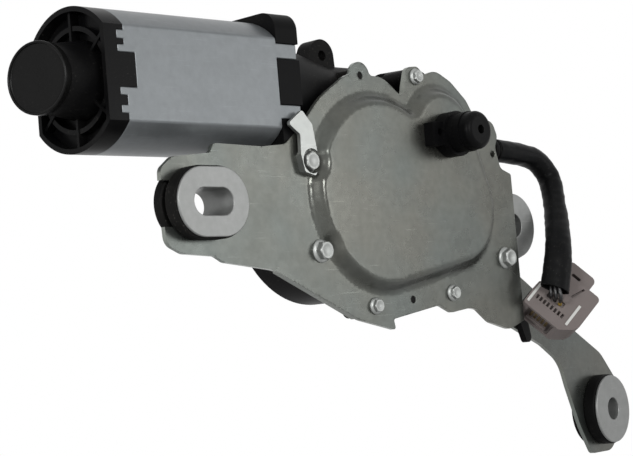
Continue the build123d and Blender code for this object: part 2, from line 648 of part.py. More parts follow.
def axle_clip():
    """Retaining ring in the axle's groove."""
    ring = disc(WHEEL_X, WHEEL_Z, AXLE_R + 1.1) - disc(WHEEL_X, WHEEL_Z, AXLE_R - 0.6)
    return slab(ring, WHEEL_FRONT_Y - 1.0, WHEEL_FRONT_Y - 0.4)


# ======== linkage
def connecting_link():
    """Bar between crank pin and lever pin."""
    plate = hull_of((*CRANK_PIN, 2.8), (*LEVER_PIN, 2.8))
    plate += disc(*CRANK_PIN, PIVOT_EYE_R) + disc(*LEVER_PIN, PIVOT_EYE_R)
    plate -= disc(*CRANK_PIN, CRANK_PIN_R + RUNNING_FIT)
    plate -= disc(*LEVER_PIN, LEVER_PIN_R + RUNNING_FIT)
    return slab(plate, LINK_Y, LINK_BACK_Y)


def swing_lever():
    plate = hull_of((0, 0, OUTPUT_R + 3.2), (*LEVER_PIN, PIVOT_EYE_R))
    plate -= disc(0, 0, OUTPUT_R) + disc(*LEVER_PIN, LEVER_PIN_R)
    return slab(plate, LEVER_Y, LEVER_BACK_Y)


def lever_pin():
    """Rivet of the lever; it stops short of the link."""
    return peg(*LEVER_PIN, LEVER_PIN_R, LEVER_Y - 0.1, LEVER_BACK_Y)


def output_shaft():
    """Hollow shaft with a splined seat and a threaded end."""
    shaft = peg(0, 0, OUTPUT_R, LEVER_Y, SPINDLE_END_Y + 6.0)
    cone = peg(0, 0, OUTPUT_R, SPINDLE_END_Y + 6.0, SPINDLE_END_Y + 14.0)
    for k in range(24):
        notch = Rot(0, 0, k * 15) * Pos(OUTPUT_R, 0) * Rot(0, 0, 45) * Rectangle(0.7, 0.7)
        cone -= slab(notch, SPINDLE_END_Y + 6.0, SPINDLE_END_Y + 15.0)
    shaft += cone + peg(0, 0, OUTPUT_R - 1.0, SPINDLE_END_Y + 14.0, SHAFT_END_Y)
    shaft = chamfer(shaft.faces().sort_by(Axis.Y)[-1].edges(), 0.6)
    return shaft - peg(0, 0, WATER_BORE_R, LEVER_Y - 1, SHAFT_END_Y + 1)


def guide_tube():
    """Shouldered tube pressed into the case's rear, round the output shaft."""
    tube_solid = peg(0, 0, SPINDLE_R, CASE_REAR_Y, SPINDLE_END_Y)
    tube_solid += peg(0, 0, SPINDLE_R - SPINDLE_STEP, CASE_REAR_Y - SPINDLE_SEAT_T, CASE_REAR_Y)
    return tube_solid - peg(0, 0, BUSH_R, CASE_REAR_Y - SPINDLE_SEAT_T - 1, SPINDLE_END_Y + 1)


def spindle_bush(y_front, y_back):
    return slab(Circle(BUSH_R) - Circle(OUTPUT_R + RUNNING_FIT), y_front, y_back)


def spindle_seal():
    """Lip seal in the guide tube's mouth."""
    return slab(Circle(BUSH_R) - Circle(OUTPUT_R + 0.06), SPINDLE_END_Y - 3.0, SPINDLE_END_Y)


def shaft_washer():
    """Push-on washer that stops the shaft sliding in."""
    ring = Circle(OUTPUT_R + 2.6) - Circle(OUTPUT_R)
    return slab(ring, SPINDLE_END_Y + LOOSE_GAP, SPINDLE_END_Y + LOOSE_GAP + 1.2)


# ======== motor
def can_tab(low, high, x_left, x_right):
    """Strip of the front flat between two heights."""
    strip = Pos(-CAN_FLAT + CAN_WALL / 2, (low + high) / 2 - MOTOR_Z) * Rectangle(CAN_WALL, high - low)
    return bar(strip, x_left, x_right)


def motor_yoke():
    can = bar(double_d(CAN_R, CAN_FLAT), CAN_LEFT_X, CAN_RIGHT_X)
    can = fillet(can.edges().filter_by(Axis.X), 1.6)
    inner = double_d(CAN_R - CAN_WALL, CAN_FLAT - CAN_WALL)
    can -= bar(inner, CAN_LEFT_X - 1, CAN_RIGHT_X - CAN_WALL)
    can -= rod(9.0, CAN_RIGHT_X - 3, CAN_RIGHT_X + 1)
    can -= can_tab(CRIMP_TABS[2][1], CRIMP_TABS[1][0], CAN_LEFT_X - 1, CAN_LEFT_X + 4.0)
    for low, high in STAKE_TABS:
        can += can_tab(low, high, CAN_RIGHT_X - 1, CAN_RIGHT_X + COLLAR_T - 1.0)
    for low, high in CRIMP_TABS:
        can += can_tab(low, high, CAN_LEFT_X - 2.6, CAN_LEFT_X + 1)
    return can


def end_cap():
    """Ribbed cap with a tapered hub and a block in the can's notch."""
    cap = bar(double_d(CAN_R, CAN_FLAT), CAP_LEFT_X, CAN_LEFT_X)
    cap -= bar(double_d(CAN_R - 1.6, CAN_FLAT - 1.6), CAP_LEFT_X - 1, CAN_LEFT_X - 3.0)
    cap += tube(16.4, 14.9, CAP_LEFT_X + 1.5, CAN_LEFT_X - 2.0)
    for turn in (0, 50, 130, 180, 230, 310):
        rib = Rot(0, 0, turn) * Pos(0, 17.0) * Rectangle(1.0, 10.5)
        cap += bar(rib & double_d(CAN_R, CAN_FLAT), CAP_LEFT_X + 1.2, CAN_LEFT_X - 2.0)
    base = Plane.YZ.offset(CAP_LEFT_X + 4.0) * (Pos(MOTOR_Y, MOTOR_Z) * Circle(HUB_R))
    tip = Plane.YZ.offset(CAP_LEFT_X - HUB_LENGTH) * (Pos(MOTOR_Y, MOTOR_Z) * Circle(HUB_TIP_R))
    cap += loft([base.face(), tip.face()])
    plug = double_d(CAN_R - CAN_WALL, CAN_FLAT - CAN_WALL) - double_d(CAN_R - 4, CAN_FLAT - 4)
    cap += bar(plug, CAN_LEFT_X, CAN_LEFT_X + 4.0)
    middle = (CRIMP_TABS[2][1] + CRIMP_TABS[1][0]) / 2
    height = CRIMP_TABS[1][0] - CRIMP_TABS[2][1]
    cap += can_tab(middle - height / 2, middle + height / 2, CAN_LEFT_X - 0.5, CAN_LEFT_X + 4.0)
    for low, high in CRIMP_TABS:
        cap -= can_tab(low, high, CAN_LEFT_X - 2.6, CAN_LEFT_X + 0.01)
    cap -= rod(SHAFT_R + RUNNING_FIT + BUSH_WALL, CAP_LEFT_X + 1.0, CAN_LEFT_X + 5.0)
    return cap - bumper_space()


def bumper_axis():
    """Plane on the hub's end, tilted towards the front."""
    lean = radians(BUMPER_TILT)
    origin = (CAP_LEFT_X - HUB_LENGTH, MOTOR_Y, MOTOR_Z)
    return Plane(origin=origin, x_dir=(sin(lean), -cos(lean), 0), z_dir=(-cos(lean), -sin(lean), 0))


def bumper_space():
    """Everything beyond the bumper's seat."""
    return extrude(bumper_axis().offset(-0.2) * Circle(30), 20)


def end_bumper():
    """Dished rubber disc on the hub."""
    puck = extrude(bumper_axis().offset(-0.2) * Circle(BUMPER_R), BUMPER_T)
    dish = extrude(bumper_axis().offset(BUMPER_T - 1.0) * Circle(BUMPER_R - 0.8), 3)
    return puck - dish


def magnets():
    """Two arc magnets against the can's round sides."""
    outer = CAN_R - CAN_WALL
    ring = Circle(outer) - Circle(outer - MAGNET_T)
    width = 2 * (CAN_FLAT - CAN_WALL) - 2.0
    pair = [ring & (Pos(0, side * 17.0) * Rectangle(width, 18.0)) for side in (1, -1)]
    return [bar(one, CORE_LEFT_X - 2.0, CORE_RIGHT_X + 2.0) for one in pair]


def armature_core():
    stack = Circle(CORE_R) - Circle(SHAFT_R)
    for k in range(SLOTS):
        turn = Rot(0, 0, k * 360 / SLOTS)
        stack -= turn * Pos(CORE_R - 3.6, 0) * SlotCenterToCenter(3.0, 3.2)
        stack -= turn * Pos(CORE_R, 0) * Rectangle(3.0, 1.4)
    return bar(stack, CORE_LEFT_X, CORE_RIGHT_X)


def armature_windings():
    """End turns on both faces of the core."""
    left = tube(CORE_R - 1.4, SHAFT_R + 1.0, CORE_LEFT_X - 6.0, CORE_LEFT_X)
    right = tube(CORE_R - 1.4, SHAFT_R + 1.0, CORE_RIGHT_X, CORE_RIGHT_X + 5.0)
    left = fillet(left.edges().filter_by(GeomType.CIRCLE).sort_by(Axis.X)[:2], 1.6)
    right = fillet(right.edges().filter_by(GeomType.CIRCLE).sort_by(Axis.X)[-2:], 1.6)
    return left, right


def commutator():
    drum = Circle(COMMUTATOR_R) - Circle(SHAFT_R)
    for k in range(SLOTS):
        drum -= Rot(0, 0, k * 360 / SLOTS) * Pos(COMMUTATOR_R, 0) * Rectangle(1.4, 0.5)
    return bar(drum, CORE_RIGHT_X + 6.5, CORE_RIGHT_X + 15.5)


def brush_places():
    """Directions of the three brushes about the axis, degrees."""
    return (90, 210, 330)


def brush_card():
    """Insulating card with a box for each brush."""
    x_card = CORE_RIGHT_X + 16.5
    card = double_d(CAN_R - CAN_WALL, CAN_FLAT - CAN_WALL) - Circle(8.5)
    card = bar(card, x_card, x_card + 1.6)
    for turn in brush_places():
        box = Rot(0, 0, turn) * Pos(11.6, 0) * (Rectangle(6.8, BRUSH_SIZE + 2.0) -
                                              Rectangle(6.8, BRUSH_SIZE + 0.2))
        card += bar(box, x_card - 6.0, x_card + 0.1)
    return card


def carbon_brushes():
    x_card = CORE_RIGHT_X + 16.5
    size = Pos(COMMUTATOR_R + 0.06 + 3.0, 0) * Rectangle(6.0, BRUSH_SIZE)
    around = [Rot(0, 0, turn) * size - Circle(COMMUTATOR_R + 0.05) for turn in brush_places()]
    return [bar(one, x_card - 5.6, x_card - 0.4) for one in around]


def brush_springs():
    """Coil springs behind the brushes, as tubes of their outer size."""
    x_card = CORE_RIGHT_X + 16.5
    springs = []
    for turn in brush_places():
        reach = Rot(0, 0, turn) * Pos(COMMUTATOR_R + 6.1 + 1.1, 0) * Rectangle(2.2, 3.0)
        springs.append(bar(reach, x_card - 4.4, x_card - 1.6))
    return springs


def bush(x_left, x_right):
    """Plain bearing of the armature shaft."""
    return tube(SHAFT_R + RUNNING_FIT + BUSH_WALL, SHAFT_R + RUNNING_FIT, x_left, x_right)


# ======== water joint
def water_nozzle():
    """Straight joint: collar on the draw, barrel with a rounded end and a hollow bore."""
    joint = peg(0, 0, NOZZLE_COLLAR_R, DRAW_Y - 5.0, DRAW_Y)
    joint += peg(0, 0, NOZZLE_R, DRAW_Y - NOZZLE_LENGTH, DRAW_Y)
    joint = fillet(joint.faces().sort_by(Axis.Y)[0].edges(), 2.2)
    joint += peg(0, 0, NOZZLE_R + 0.35, DRAW_Y - 10.4, DRAW_Y - 8.2)
    x, z, size = NOZZLE_LUG
    joint += slab(Pos(x, z) * RectangleRounded(size, size, 0.8), DRAW_Y - 4.2, DRAW_Y)
    joint += peg(0, 0, NOZZLE_R - 2.8, DRAW_Y - 1, LINK_Y - 3.0)
    joint -= peg(x - 0.6, z + 0.6, 1.3, DRAW_Y - 5, DRAW_Y - 1.6)
    return joint - peg(0, 0, WATER_BORE_R, DRAW_Y - NOZZLE_LENGTH - 1, LINK_Y - 2.0)


# ======== lead and connector
def lead_path(first, last, shift=0.0):
    """Route of the lead between extra end points, moved along Y by the shift."""
    points = [(x, y + shift, z) for x, y, z in first + LEAD_ROUTE] + last
    turns, lengths = [], []
    for a, b in zip(points, points[1:]):
        lengths.append((Vector(*b) - Vector(*a)).length)
    for a, b, c in zip(points, points[1:], points[2:]):
        turns.append((Vector(*b) - Vector(*a)).get_angle(Vector(*c) - Vector(*b)))
    radii = [0.45 * min(m, n) / tan(radians(t) / 2)
             for t, m, n in zip(turns, lengths, lengths[1:])]
    return FilletPolyline(*points, radius=radii), radii


def swept(path, outer, inner=0.0):
    """Round tube along a path."""
    start = Plane(origin=path @ 0, z_dir=path % 0)
    ring = Circle(outer) - Circle(inner) if inner else Circle(outer)
    return sweep(start * ring, path=path)


def harness_sleeve():
    path, radii = lead_path([], [])
    print("lead radii", [round(r, 1) for r in radii])
    tube_solid = swept(path, SLEEVE_R, SLEEVE_R - SLEEVING_WALL)
    area = pi * (SLEEVE_R ** 2 - (SLEEVE_R - SLEEVING_WALL) ** 2)
    print("sleeve volume over section times length", round(tube_solid.volume / area / path.length, 3))
    return tube_solid


def lead_wires():
    """Three wires side by side in the sleeve, from the gear case into the connector."""
    start = [(CABLE_EXIT_X - 8.0, LEAD_ROUTE[0][1], LEAD_ROUTE[0][2])]
    wires = []
    for k in (-1, 0, 1):
        bend = connector_point(WIRE_ENTRY_X - 0.85 - 1.65 * k, WIRE_ENTRY_Y - 1.4, 4.9 - 1.55 * k)
        end = connector_point(WIRE_ENTRY_X - 2.2 * k, WIRE_ENTRY_Y, 0.1 - WIRE_ENTRY_DEPTH)
        wires.append(swept(lead_path(start, [bend, end], k * WIRE_PITCH)[0], WIRE_R))
    return wires


def cable_grommet():
    """Ribbed rubber grommet between the outlet and the sleeve."""
    plug = cable_outlet(SLEEVE_R - 0.9, CABLE_EXIT_X - 7.5, CABLE_EXIT_X)
    plug += cable_outlet(SLEEVE_R - 0.6, CABLE_EXIT_X - 2.0, LEAD_ROUTE[0][0] - 0.4)
    for k in range(4):
        x = CABLE_EXIT_X - 1.6 + k * 2.9
        plug += cable_outlet(SLEEVE_R - 0.1, x, x + 1.4)
    slot = Pos(LEAD_ROUTE[0][1] - MOTOR_Y, LEAD_ROUTE[0][2] - MOTOR_Z)
    wires = slot * Rectangle(2 * WIRE_PITCH + 2 * WIRE_R + 0.3, 2 * WIRE_R + 0.3)
    return plug - bar(wires, CABLE_EXIT_X - 9, LEAD_ROUTE[0][0] + 1)


def connector_plane(depth=0.0):
    """Plane behind the broad face: x runs along the row, y away from the mouth."""
    plane = Plane(origin=CONNECTOR_AT, x_dir=CONNECTOR_ROW_DIR, z_dir=CONNECTOR_FACE_DIR)
    return plane.offset(-depth)


def in_connector(sketch, front, back):
    """Extrude a sketch between two depths behind the broad face."""
    return extrude(connector_plane(back) * sketch, back - front)


def connector_point(x, y, height):
    """Point above the broad face."""
    return tuple(connector_plane().from_local_coords(Vector(x, y, height)))


def mouth_box():
    """Mating space, open at the connector's lower end."""
    low, high = -CONNECTOR_H / 2 - 1, MOUTH_FLOOR
    spot = Pos(MOUTH_X, (low + high) / 2) * Rectangle(MOUTH_W, high - low)
    return in_connector(spot, CONNECTOR_WALL, CONNECTOR_T - CONNECTOR_WALL)


def connector_housing():
    """Shell with a mating mouth, a row of terminal windows, a wire entry and a latch tab."""
    right, low, high = CONNECTOR_ROW / 2, -CONNECTOR_H / 2, CONNECTOR_H / 2
    outline = rounded([(-right, low, 1.0), (right - 5.4, low, 1.2), (right - 1.1, low + 3.6, 1.0),
                       (right, low + 6.0, 1.0), (right, high, 1.8), (-right + 4.4, high, 0.8),
                       (-right + 4.4, 0.6, 0.8), (-right, 0.6, 0.8)])
    shell = in_connector(outline, 0, CONNECTOR_T)
    tab = Pos(-0.4, high + 1.6) * RectangleRounded(12.0, 8.0, 2.0)
    tab -= Pos(-1.0, high + 1.4) * RectangleRounded(3.8, 1.2, 0.4)
    shell += in_connector(tab, 1.4, 4.4)
    shell -= mouth_box()
    tongue = Pos(MOUTH_X, (low + 0.8 + MOUTH_FLOOR) / 2) * Rectangle(MOUTH_W - 3.0, MOUTH_FLOOR - low - 0.8)
    shell += in_connector(tongue, CONNECTOR_T - CONNECTOR_WALL - TONGUE_T, CONNECTOR_T - 0.4)
    for k in range(8):
        window = Pos(MOUTH_X + (k - 3.5) * 1.63, low + 5.2) * Rectangle(0.95, 1.9)
        shell -= in_connector(window, -1, CONNECTOR_WALL + 0.2)
    entry = Pos(WIRE_ENTRY_X, WIRE_ENTRY_Y) * RectangleRounded(7.4, 2.4, 0.5)
    shell -= in_connector(entry, -1, WIRE_ENTRY_DEPTH)
    groove = Pos(3.0, 6.2) * Rot(0, 0, -20) * Rectangle(0.8, 6.0)
    shell -= in_connector(groove, -1, 1.6)
    for strip in lock_strips():
        shell -= in_connector(strip, -1, LOCK_DEPTH)
    return shell


def lock_strips():
    """Outlines of the terminal lock's two strips."""
    right = CONNECTOR_ROW / 2
    return [Pos(right - 4.4, -2.2) * Rectangle(1.0, 9.6), Pos(-right + 1.1, -4.6) * Rectangle(1.0, 8.6)]


def connector_lock():
    """Terminal lock, pushed into its slots."""
    return [in_connector(strip, -0.3, LOCK_DEPTH) for strip in lock_strips()]


def connector_terminals():
    """Brass blades lying on the tongue."""
    top = CONNECTOR_T - CONNECTOR_WALL - TONGUE_T
    low = -CONNECTOR_H / 2 + 1.6
    blades = []
    for k in range(5):
        blade = Pos(MOUTH_X + (k - 2) * 1.63, (low + MOUTH_FLOOR) / 2) * Rectangle(0.9, MOUTH_FLOOR - low)
        blades.append(in_connector(blade, top - 0.5, top))
    return blades


def connector_clip():
    """Clip between the connector's rear and the arm, with its tip below the arm's edge."""
    pad = arm_slab(hull_of(*CLIP_PAD), -CLIP_T, 0)
    return pad - in_connector(Rectangle(CONNECTOR_ROW, CONNECTOR_H), 0, CONNECTOR_T)


# ======== write the nodes
os.makedirs("parts", exist_ok=True)
save("mounting_plate", mounting_plate())
save("plate_gasket", plate_gasket())
save("plate_screws_large", *[plate_screw(x, z, LARGE_HEAD) for x, z in LARGE_SCREWS])
save("plate_screws_small", *[plate_screw(x, z, SMALL_HEAD) for x, z in SMALL_SCREWS])
save("clamp_clip", clamp_clip())
save("left_mount_rubber", at_left(mount_rubber(LEFT_WASHER_R, LEFT_STRETCH, PLATE_T)))
save("left_mount_sleeve", at_left(mount_sleeve(LEFT_WASHER_R, LEFT_STRETCH, PLATE_T)))
save("upper_mount_rubber", at_upper(mount_rubber(UPPER_WASHER_R, 0, EYE_T)))
save("upper_mount_sleeve", at_upper(mount_sleeve(UPPER_WASHER_R, 0, EYE_T)))
save("arm_mount_rubber", at_arm(mount_rubber(ARM_WASHER_R, 0, PLATE_T)))
save("arm_mount_sleeve", at_arm(mount_sleeve(ARM_WASHER_R, 0, PLATE_T)))
save("gear_housing", gear_housing())
save("guide_tube", guide_tube())
save("spindle_bushes", spindle_bush(FLOOR_Y, CASE_REAR_Y), spindle_bush(0, SPINDLE_END_Y - 3.2))
save("spindle_seal", spindle_seal())
save("wheel_axle", wheel_axle())
save("axle_clip", axle_clip())
save("armature_shaft", armature_shaft())
save("armature_core", armature_core())
save("armature_windings", *armature_windings())
save("commutator", commutator())
save("worm_wheel", worm_wheel())
save("contact_disc", contact_disc())
save("contact_carrier", contact_carrier())
save("contact_fingers", *contact_fingers())
save("crank_pin", crank_pin())
save("connecting_link", connecting_link())
save("swing_lever", swing_lever())
save("lever_pin", lever_pin())
save("output_shaft", output_shaft())
save("shaft_washer", shaft_washer())
save("motor_yoke", motor_yoke())
save("end_cap", end_cap())
save("end_bumper", end_bumper())
save("permanent_magnets", *magnets())
save("brush_card", brush_card())
save("carbon_brushes", *carbon_brushes())
save("brush_springs", *brush_springs())
save("rear_bush", bush(CAP_LEFT_X + 1.0, CAN_LEFT_X + 0.5))
save("front_bush", bush(CAN_RIGHT_X, CAN_RIGHT_X + 6.8))
save("worm_end_bush", bush(TUNNEL_END_X - 9.6, TUNNEL_END_X - 3.4))
save("water_nozzle", water_nozzle())
save("cable_grommet", cable_grommet())
save("harness_sleeve", harness_sleeve())
save("lead_wires", *lead_wires())
save("connector_housing", connector_housing())
save("connector_lock", *connector_lock())
save("connector_terminals", *connector_terminals())
save("connector_clip", connector_clip())
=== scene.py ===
"""Looks of a rear wiper motor: pressed steel, black case, rubber mounts, lead and studio stage.

Places are in the model's own frame: +Y runs out along the output shaft, +Z is up and +X points
from the motor can to the gear case. Lengths are in metres, apart from the tables of the screws,
the lead and the grommet's beads, which are in millimetres and are scaled by MM where they are used.
"""

import math

import bmesh
import bpy
from bpy.props import FloatProperty, FloatVectorProperty, PointerProperty
from bpy.types import Operator, Panel, PropertyGroup
from mathutils import Matrix, Vector
from mathutils.bvhtree import BVHTree


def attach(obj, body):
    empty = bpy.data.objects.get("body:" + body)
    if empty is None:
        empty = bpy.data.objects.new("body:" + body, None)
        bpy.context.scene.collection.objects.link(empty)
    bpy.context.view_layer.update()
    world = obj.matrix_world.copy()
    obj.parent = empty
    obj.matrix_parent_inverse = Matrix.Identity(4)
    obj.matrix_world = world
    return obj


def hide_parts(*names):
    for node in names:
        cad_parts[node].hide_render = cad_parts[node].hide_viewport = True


bl_info = {
    "name": "Rear wiper motor",
    "version": (1, 0, 0),
    "blender": (4, 5, 0),
    "location": "View3D > Sidebar > Wiper motor",
    "description": "Builds the finishes, the detailed pieces and the stage of a rear wiper motor",
    "category": "Add Mesh",
}

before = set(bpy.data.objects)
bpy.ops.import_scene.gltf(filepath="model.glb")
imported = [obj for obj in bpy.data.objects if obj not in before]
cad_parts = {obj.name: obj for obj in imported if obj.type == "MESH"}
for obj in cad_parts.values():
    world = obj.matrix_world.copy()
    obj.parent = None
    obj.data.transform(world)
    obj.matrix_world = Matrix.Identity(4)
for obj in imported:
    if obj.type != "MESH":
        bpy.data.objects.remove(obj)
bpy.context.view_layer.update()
MM = 0.001
WHITE = (1.0, 1.0, 1.0, 1.0)


# ---------------------------------------------------------------- places shared by the pieces
PLATE_Y = -0.044                            # front face of the plate's flange
# screws, in millimetres: their x and z
LARGE_SCREWS = ((-67.4, -10.0), (-64.4, -39.1), (30.7, -43.2))
SMALL_SCREWS = ((-10.1, 20.8), (-40.5, -57.9), (-0.3, -54.8))
# size, places, radius of the flange and height of the head
SCREW_KINDS = (("large", LARGE_SCREWS, 3.9, 3.2), ("small", SMALL_SCREWS, 2.9, 2.2))
SHANK_R, SHANK_LENGTH = 2.0, 10.5
# the lead, in millimetres: corners of its run, radii of its bends and the grommet's beads
LEAD_POINTS = (
    (40.0, -36.1, -2.8), (52.0, -36.3, -3.6), (63.5, -36.8, -5.4), (69.6, -38.3, -12.8),
    (62.3, -45.0, -26.8), (49.9, -54.0, -42.2), (44.3, -54.7, -55.8),
)
LEAD_RADII = (113.3, 11.4, 6.8, 84.4, 27.7)
GROMMET_BEADS = tuple((x, -36.1, -2.8) for x in (31.1, 34.0, 36.9, 39.4))
# the lead, in metres: its wall, the heights between which it widens and the coloured wire's end
SLEEVE_WALL = 0.0006
SLEEVE_LOW_END = (-0.046, -0.022)
MARKED_WIRE_END = (0.04866, -0.05385, -0.06082)
# directions along the connector's row of terminals and out of its broad face
CONNECTOR_ROW_WAY = (0.476, -0.5356, -0.6975)
CONNECTOR_FACE_WAY = (-0.5056, -0.8156, 0.2813)

# joining of a CAD node's triangles: vertex gap in metres and bend in degrees that are closed up
MERGE_GAP, FLAT_ANGLE = 2e-6, 0.6

# roundings of the edges that have no setting of their own
CLIP_EDGE, CAN_EDGE, BUMPER_EDGE, JOINT_EDGE = 0.00055, 0.0005, 0.0004, 0.0005
WASHER_EDGE, MOUNT_EDGE, GROMMET_EDGE, SHELL_EDGE = 0.00035, 0.0009, 0.0003, 0.0003

# pressing of the sheet
DRAW_AREA = ((0, -0.078, 0.038), (2, -0.062, 0.030))    # axis, from, to of the drawn-out part
PRESS_STEP = 0.0009                         # grid that this part is cut into
PRESS_START, PRESS_RANGE = 0.008, 0.0155    # how far off the sheet a ray starts, and its length
CUT_SIDE = 0.3                              # a face whose normal has less Y is a cut side
LEVEL = 1e-6                                # a difference of height that counts as none


# ---------------------------------------------------------------- colours of the inner pieces
# name, colour, metallic, roughness, clouding, rolling, marks, nodes
INNER_METALS = (
    ("ground_steel", (0.46, 0.46, 0.47), 0.95, 0.28, 0.3, 0.7, 0.3,
     "armature_shaft wheel_axle axle_clip crank_pin lever_pin output_shaft shaft_washer "
     "brush_springs guide_tube"),
    ("sintered_bronze", (0.50, 0.34, 0.18), 0.8, 0.5, 0.8, 0.0, 0.2,
     "spindle_bushes rear_bush front_bush worm_end_bush"),
    ("copper", (0.72, 0.36, 0.20), 0.9, 0.35, 0.5, 0.6, 0.3,
     "armature_windings commutator contact_disc contact_fingers"),
    ("core_stack", (0.30, 0.30, 0.31), 0.7, 0.5, 0.6, 1.0, 0.3, "armature_core"),
)
# name, colour, roughness, grain size, dust, bump, nodes
INNER_MOULDINGS = (
    ("wheel_nylon", (0.72, 0.69, 0.58), 0.45, 500.0, 0.1, 0.15, "worm_wheel"),
    ("laminate_card", (0.16, 0.08, 0.035), 0.6, 1200.0, 0.2, 0.3, "brush_card contact_carrier"),
    ("brush_carbon", (0.03, 0.03, 0.032), 0.45, 2200.0, 0.1, 0.3, "carbon_brushes"),
    ("ferrite", (0.06, 0.06, 0.065), 0.6, 2600.0, 0.2, 0.3, "permanent_magnets"),
    ("gasket_sheet", (0.05, 0.05, 0.05), 0.8, 2500.0, 0.2, 0.3, "plate_gasket"),
    ("seal_rubber", (0.02, 0.02, 0.02), 0.6, 1500.0, 0.1, 0.3, "spindle_seal"),
)
DUST = (0.22, 0.21, 0.19, 1.0)
WIRE_BLACK = (0.008, 0.008, 0.009)
WIRE_MARK = (0.42, 0.27, 0.035, 1.0)
COLD_TINT = (0.84, 1.0, 1.12)
STEEL_RELIEF, MOULDED_RELIEF = 0.00008, 0.00006


# ---------------------------------------------------------------- places of the stage
CAMERA_PLACE = (-0.49797, -0.46160, -0.07467)
CAMERA_TURN = (46.0, 4.1, 4.85)             # yaw, pitch and roll in degrees
SENSOR_WIDTH = 36.0
# name, place, target and size of the soft lights
LIGHTS = (
    ("key", (-0.36, -0.94, 0.22), (-0.05, -0.03, -0.01), 0.30),
    ("sheen", (0.52, -0.75, 0.06), (-0.03, -0.04, -0.01), 0.30),
    ("rim", (-0.95, -0.30, 0.16), (-0.10, -0.03, 0.0), 0.22),
    ("top", (-0.05, -0.15, 0.80), (-0.04, -0.03, 0.0), 0.60),
)
FLOOR_HALF, FLOOR_LEVEL = 6.0, -0.30
FLOOR_SHADE = (0.86, 0.86, 0.86, 1.0)
FLOOR_FADE = (0.25, 0.75)                   # distances over which the floor turns plain white


# ---------------------------------------------------------------- settings
def colour(name, text, value):
    """A colour that the user can change."""
    return FloatVectorProperty(name=name, description=text, default=value, size=3,
                               min=0.0, max=1.0, subtype="COLOR")


def length(name, text, value):
    """A length that the user can change."""
    return FloatProperty(name=name, description=text, default=value, min=0.0, max=0.1,
                         subtype="DISTANCE", unit="LENGTH", precision=5)


def power(name, text, value):
    """The power of a light that the user can change."""
    return FloatProperty(name=name, description=text, default=value, min=0.0, max=100.0,
                         unit="POWER")


class MetalSettings(PropertyGroup):
    plate: colour("Plate", "Zinc-plated sheet of the mounting plate", (0.090, 0.091, 0.080))
    can: colour("Can", "Galvanised steel of the motor can", (0.150, 0.161, 0.167))
    bright: colour("Bright steel", "Screws and clip", (0.30, 0.31, 0.30))
    sleeve: colour("Sleeve steel", "Sleeves and washers of the mounts", (0.21, 0.215, 0.21))
    sheet_edge: length("Sheet edge", "Rounding of the pressed sheet's edges", 0.00035)
    draw_edge: length("Draw edge", "Rounding where the sheet is drawn out", 0.0016)


class BlackSettings(PropertyGroup):
    plastic: colour("Plastic", "Gear case, end cap and water joint", (0.0030, 0.0030, 0.0032))
    rubber: colour("Rubber", "Mounts, bumper and grommet", (0.0040, 0.0040, 0.0040))
    sleeving: colour("Sleeving", "Soft sleeve of the lead", (0.0038, 0.0040, 0.0044))
    case_edge: length("Moulded edge", "Rounding of the moulded edges", 0.0004)


class ConnectorSettings(PropertyGroup):
    housing: colour("Housing", "Connector housing", (0.165, 0.143, 0.137))
    terminal: colour("Terminals", "Brass blades", (0.20, 0.15, 0.08))
    lock: colour("Lock", "White terminal lock", (0.55, 0.55, 0.53))


class StageSettings(PropertyGroup):
    key_power: power("Key light", "Power of the main light", 4.5)
    sheen_power: power("Sheen light", "Power of the light that the sheet mirrors", 1.0)
    rim_power: power("Rim light", "Power of the light from the can's end", 4.0)
    top_power: power("Top light", "Power of the overhead light", 0.1)
    sky: FloatProperty(name="Room light", description="Strength of the room's even light",
                       default=0.20, min=0.0, max=2.0)
    lens: FloatProperty(name="Lens", description="Focal length", default=105.8, min=20.0,
                        max=300.0, subtype="DISTANCE_CAMERA", unit="CAMERA")


SETTINGS = (("wiper_metal", MetalSettings), ("wiper_black", BlackSettings),
            ("wiper_connector", ConnectorSettings), ("wiper_stage", StageSettings))


# ---------------------------------------------------------------- shader groups
def new_group(name, inputs, outputs):
    """Empty shader group with named sockets: (name, kind, default, low, high)."""
    group = bpy.data.node_groups.new(name, "ShaderNodeTree")
    for title, kind, default, low, high in inputs:
        socket = group.interface.new_socket(title, in_out="INPUT", socket_type="NodeSocket" + kind)
        socket.default_value = default
        if kind == "Float":
            socket.min_value, socket.max_value = low, high
    for title, kind in outputs:
        group.interface.new_socket(title, in_out="OUTPUT", socket_type="NodeSocket" + kind)
    return group, group.nodes.new("NodeGroupInput"), group.nodes.new("NodeGroupOutput")


def feed(tree, socket, value):
    """Link a node's input to a socket, or give it a plain value."""
    if isinstance(value, bpy.types.NodeSocket):
        tree.links.new(value, socket)
    else:
        socket.default_value = value


def math_node(tree, operation, a, b=None, clamp=False):
    """Math node fed by sockets or plain numbers."""
    node = tree.nodes.new("ShaderNodeMath")
    node.operation, node.use_clamp = operation, clamp
    feed(tree, node.inputs[0], a)
    if b is not None:
        feed(tree, node.inputs[1], b)
    return node.outputs[0]


def vector_node(tree, operation, a, b=None):
    """Vector math node, where b is the factor of SCALE and the second vector of the rest."""
    node = tree.nodes.new("ShaderNodeVectorMath")
    node.operation = operation
    feed(tree, node.inputs[0], a)
    if b is not None:
        feed(tree, node.inputs["Scale" if operation == "SCALE" else 1], b)
    gives_number = operation in ("DISTANCE", "DOT_PRODUCT", "LENGTH")
    return node.outputs["Value" if gives_number else "Vector"]


def stretched(tree, place, scale, turn=(0.0, 0.0, 0.0)):
    """A place turned and scaled along its axes, for a texture that runs one way."""
    node = tree.nodes.new("ShaderNodeMapping")
    node.inputs["Rotation"].default_value = turn
    node.inputs["Scale"].default_value = scale
    tree.links.new(place, node.inputs["Vector"])
    return node.outputs["Vector"]


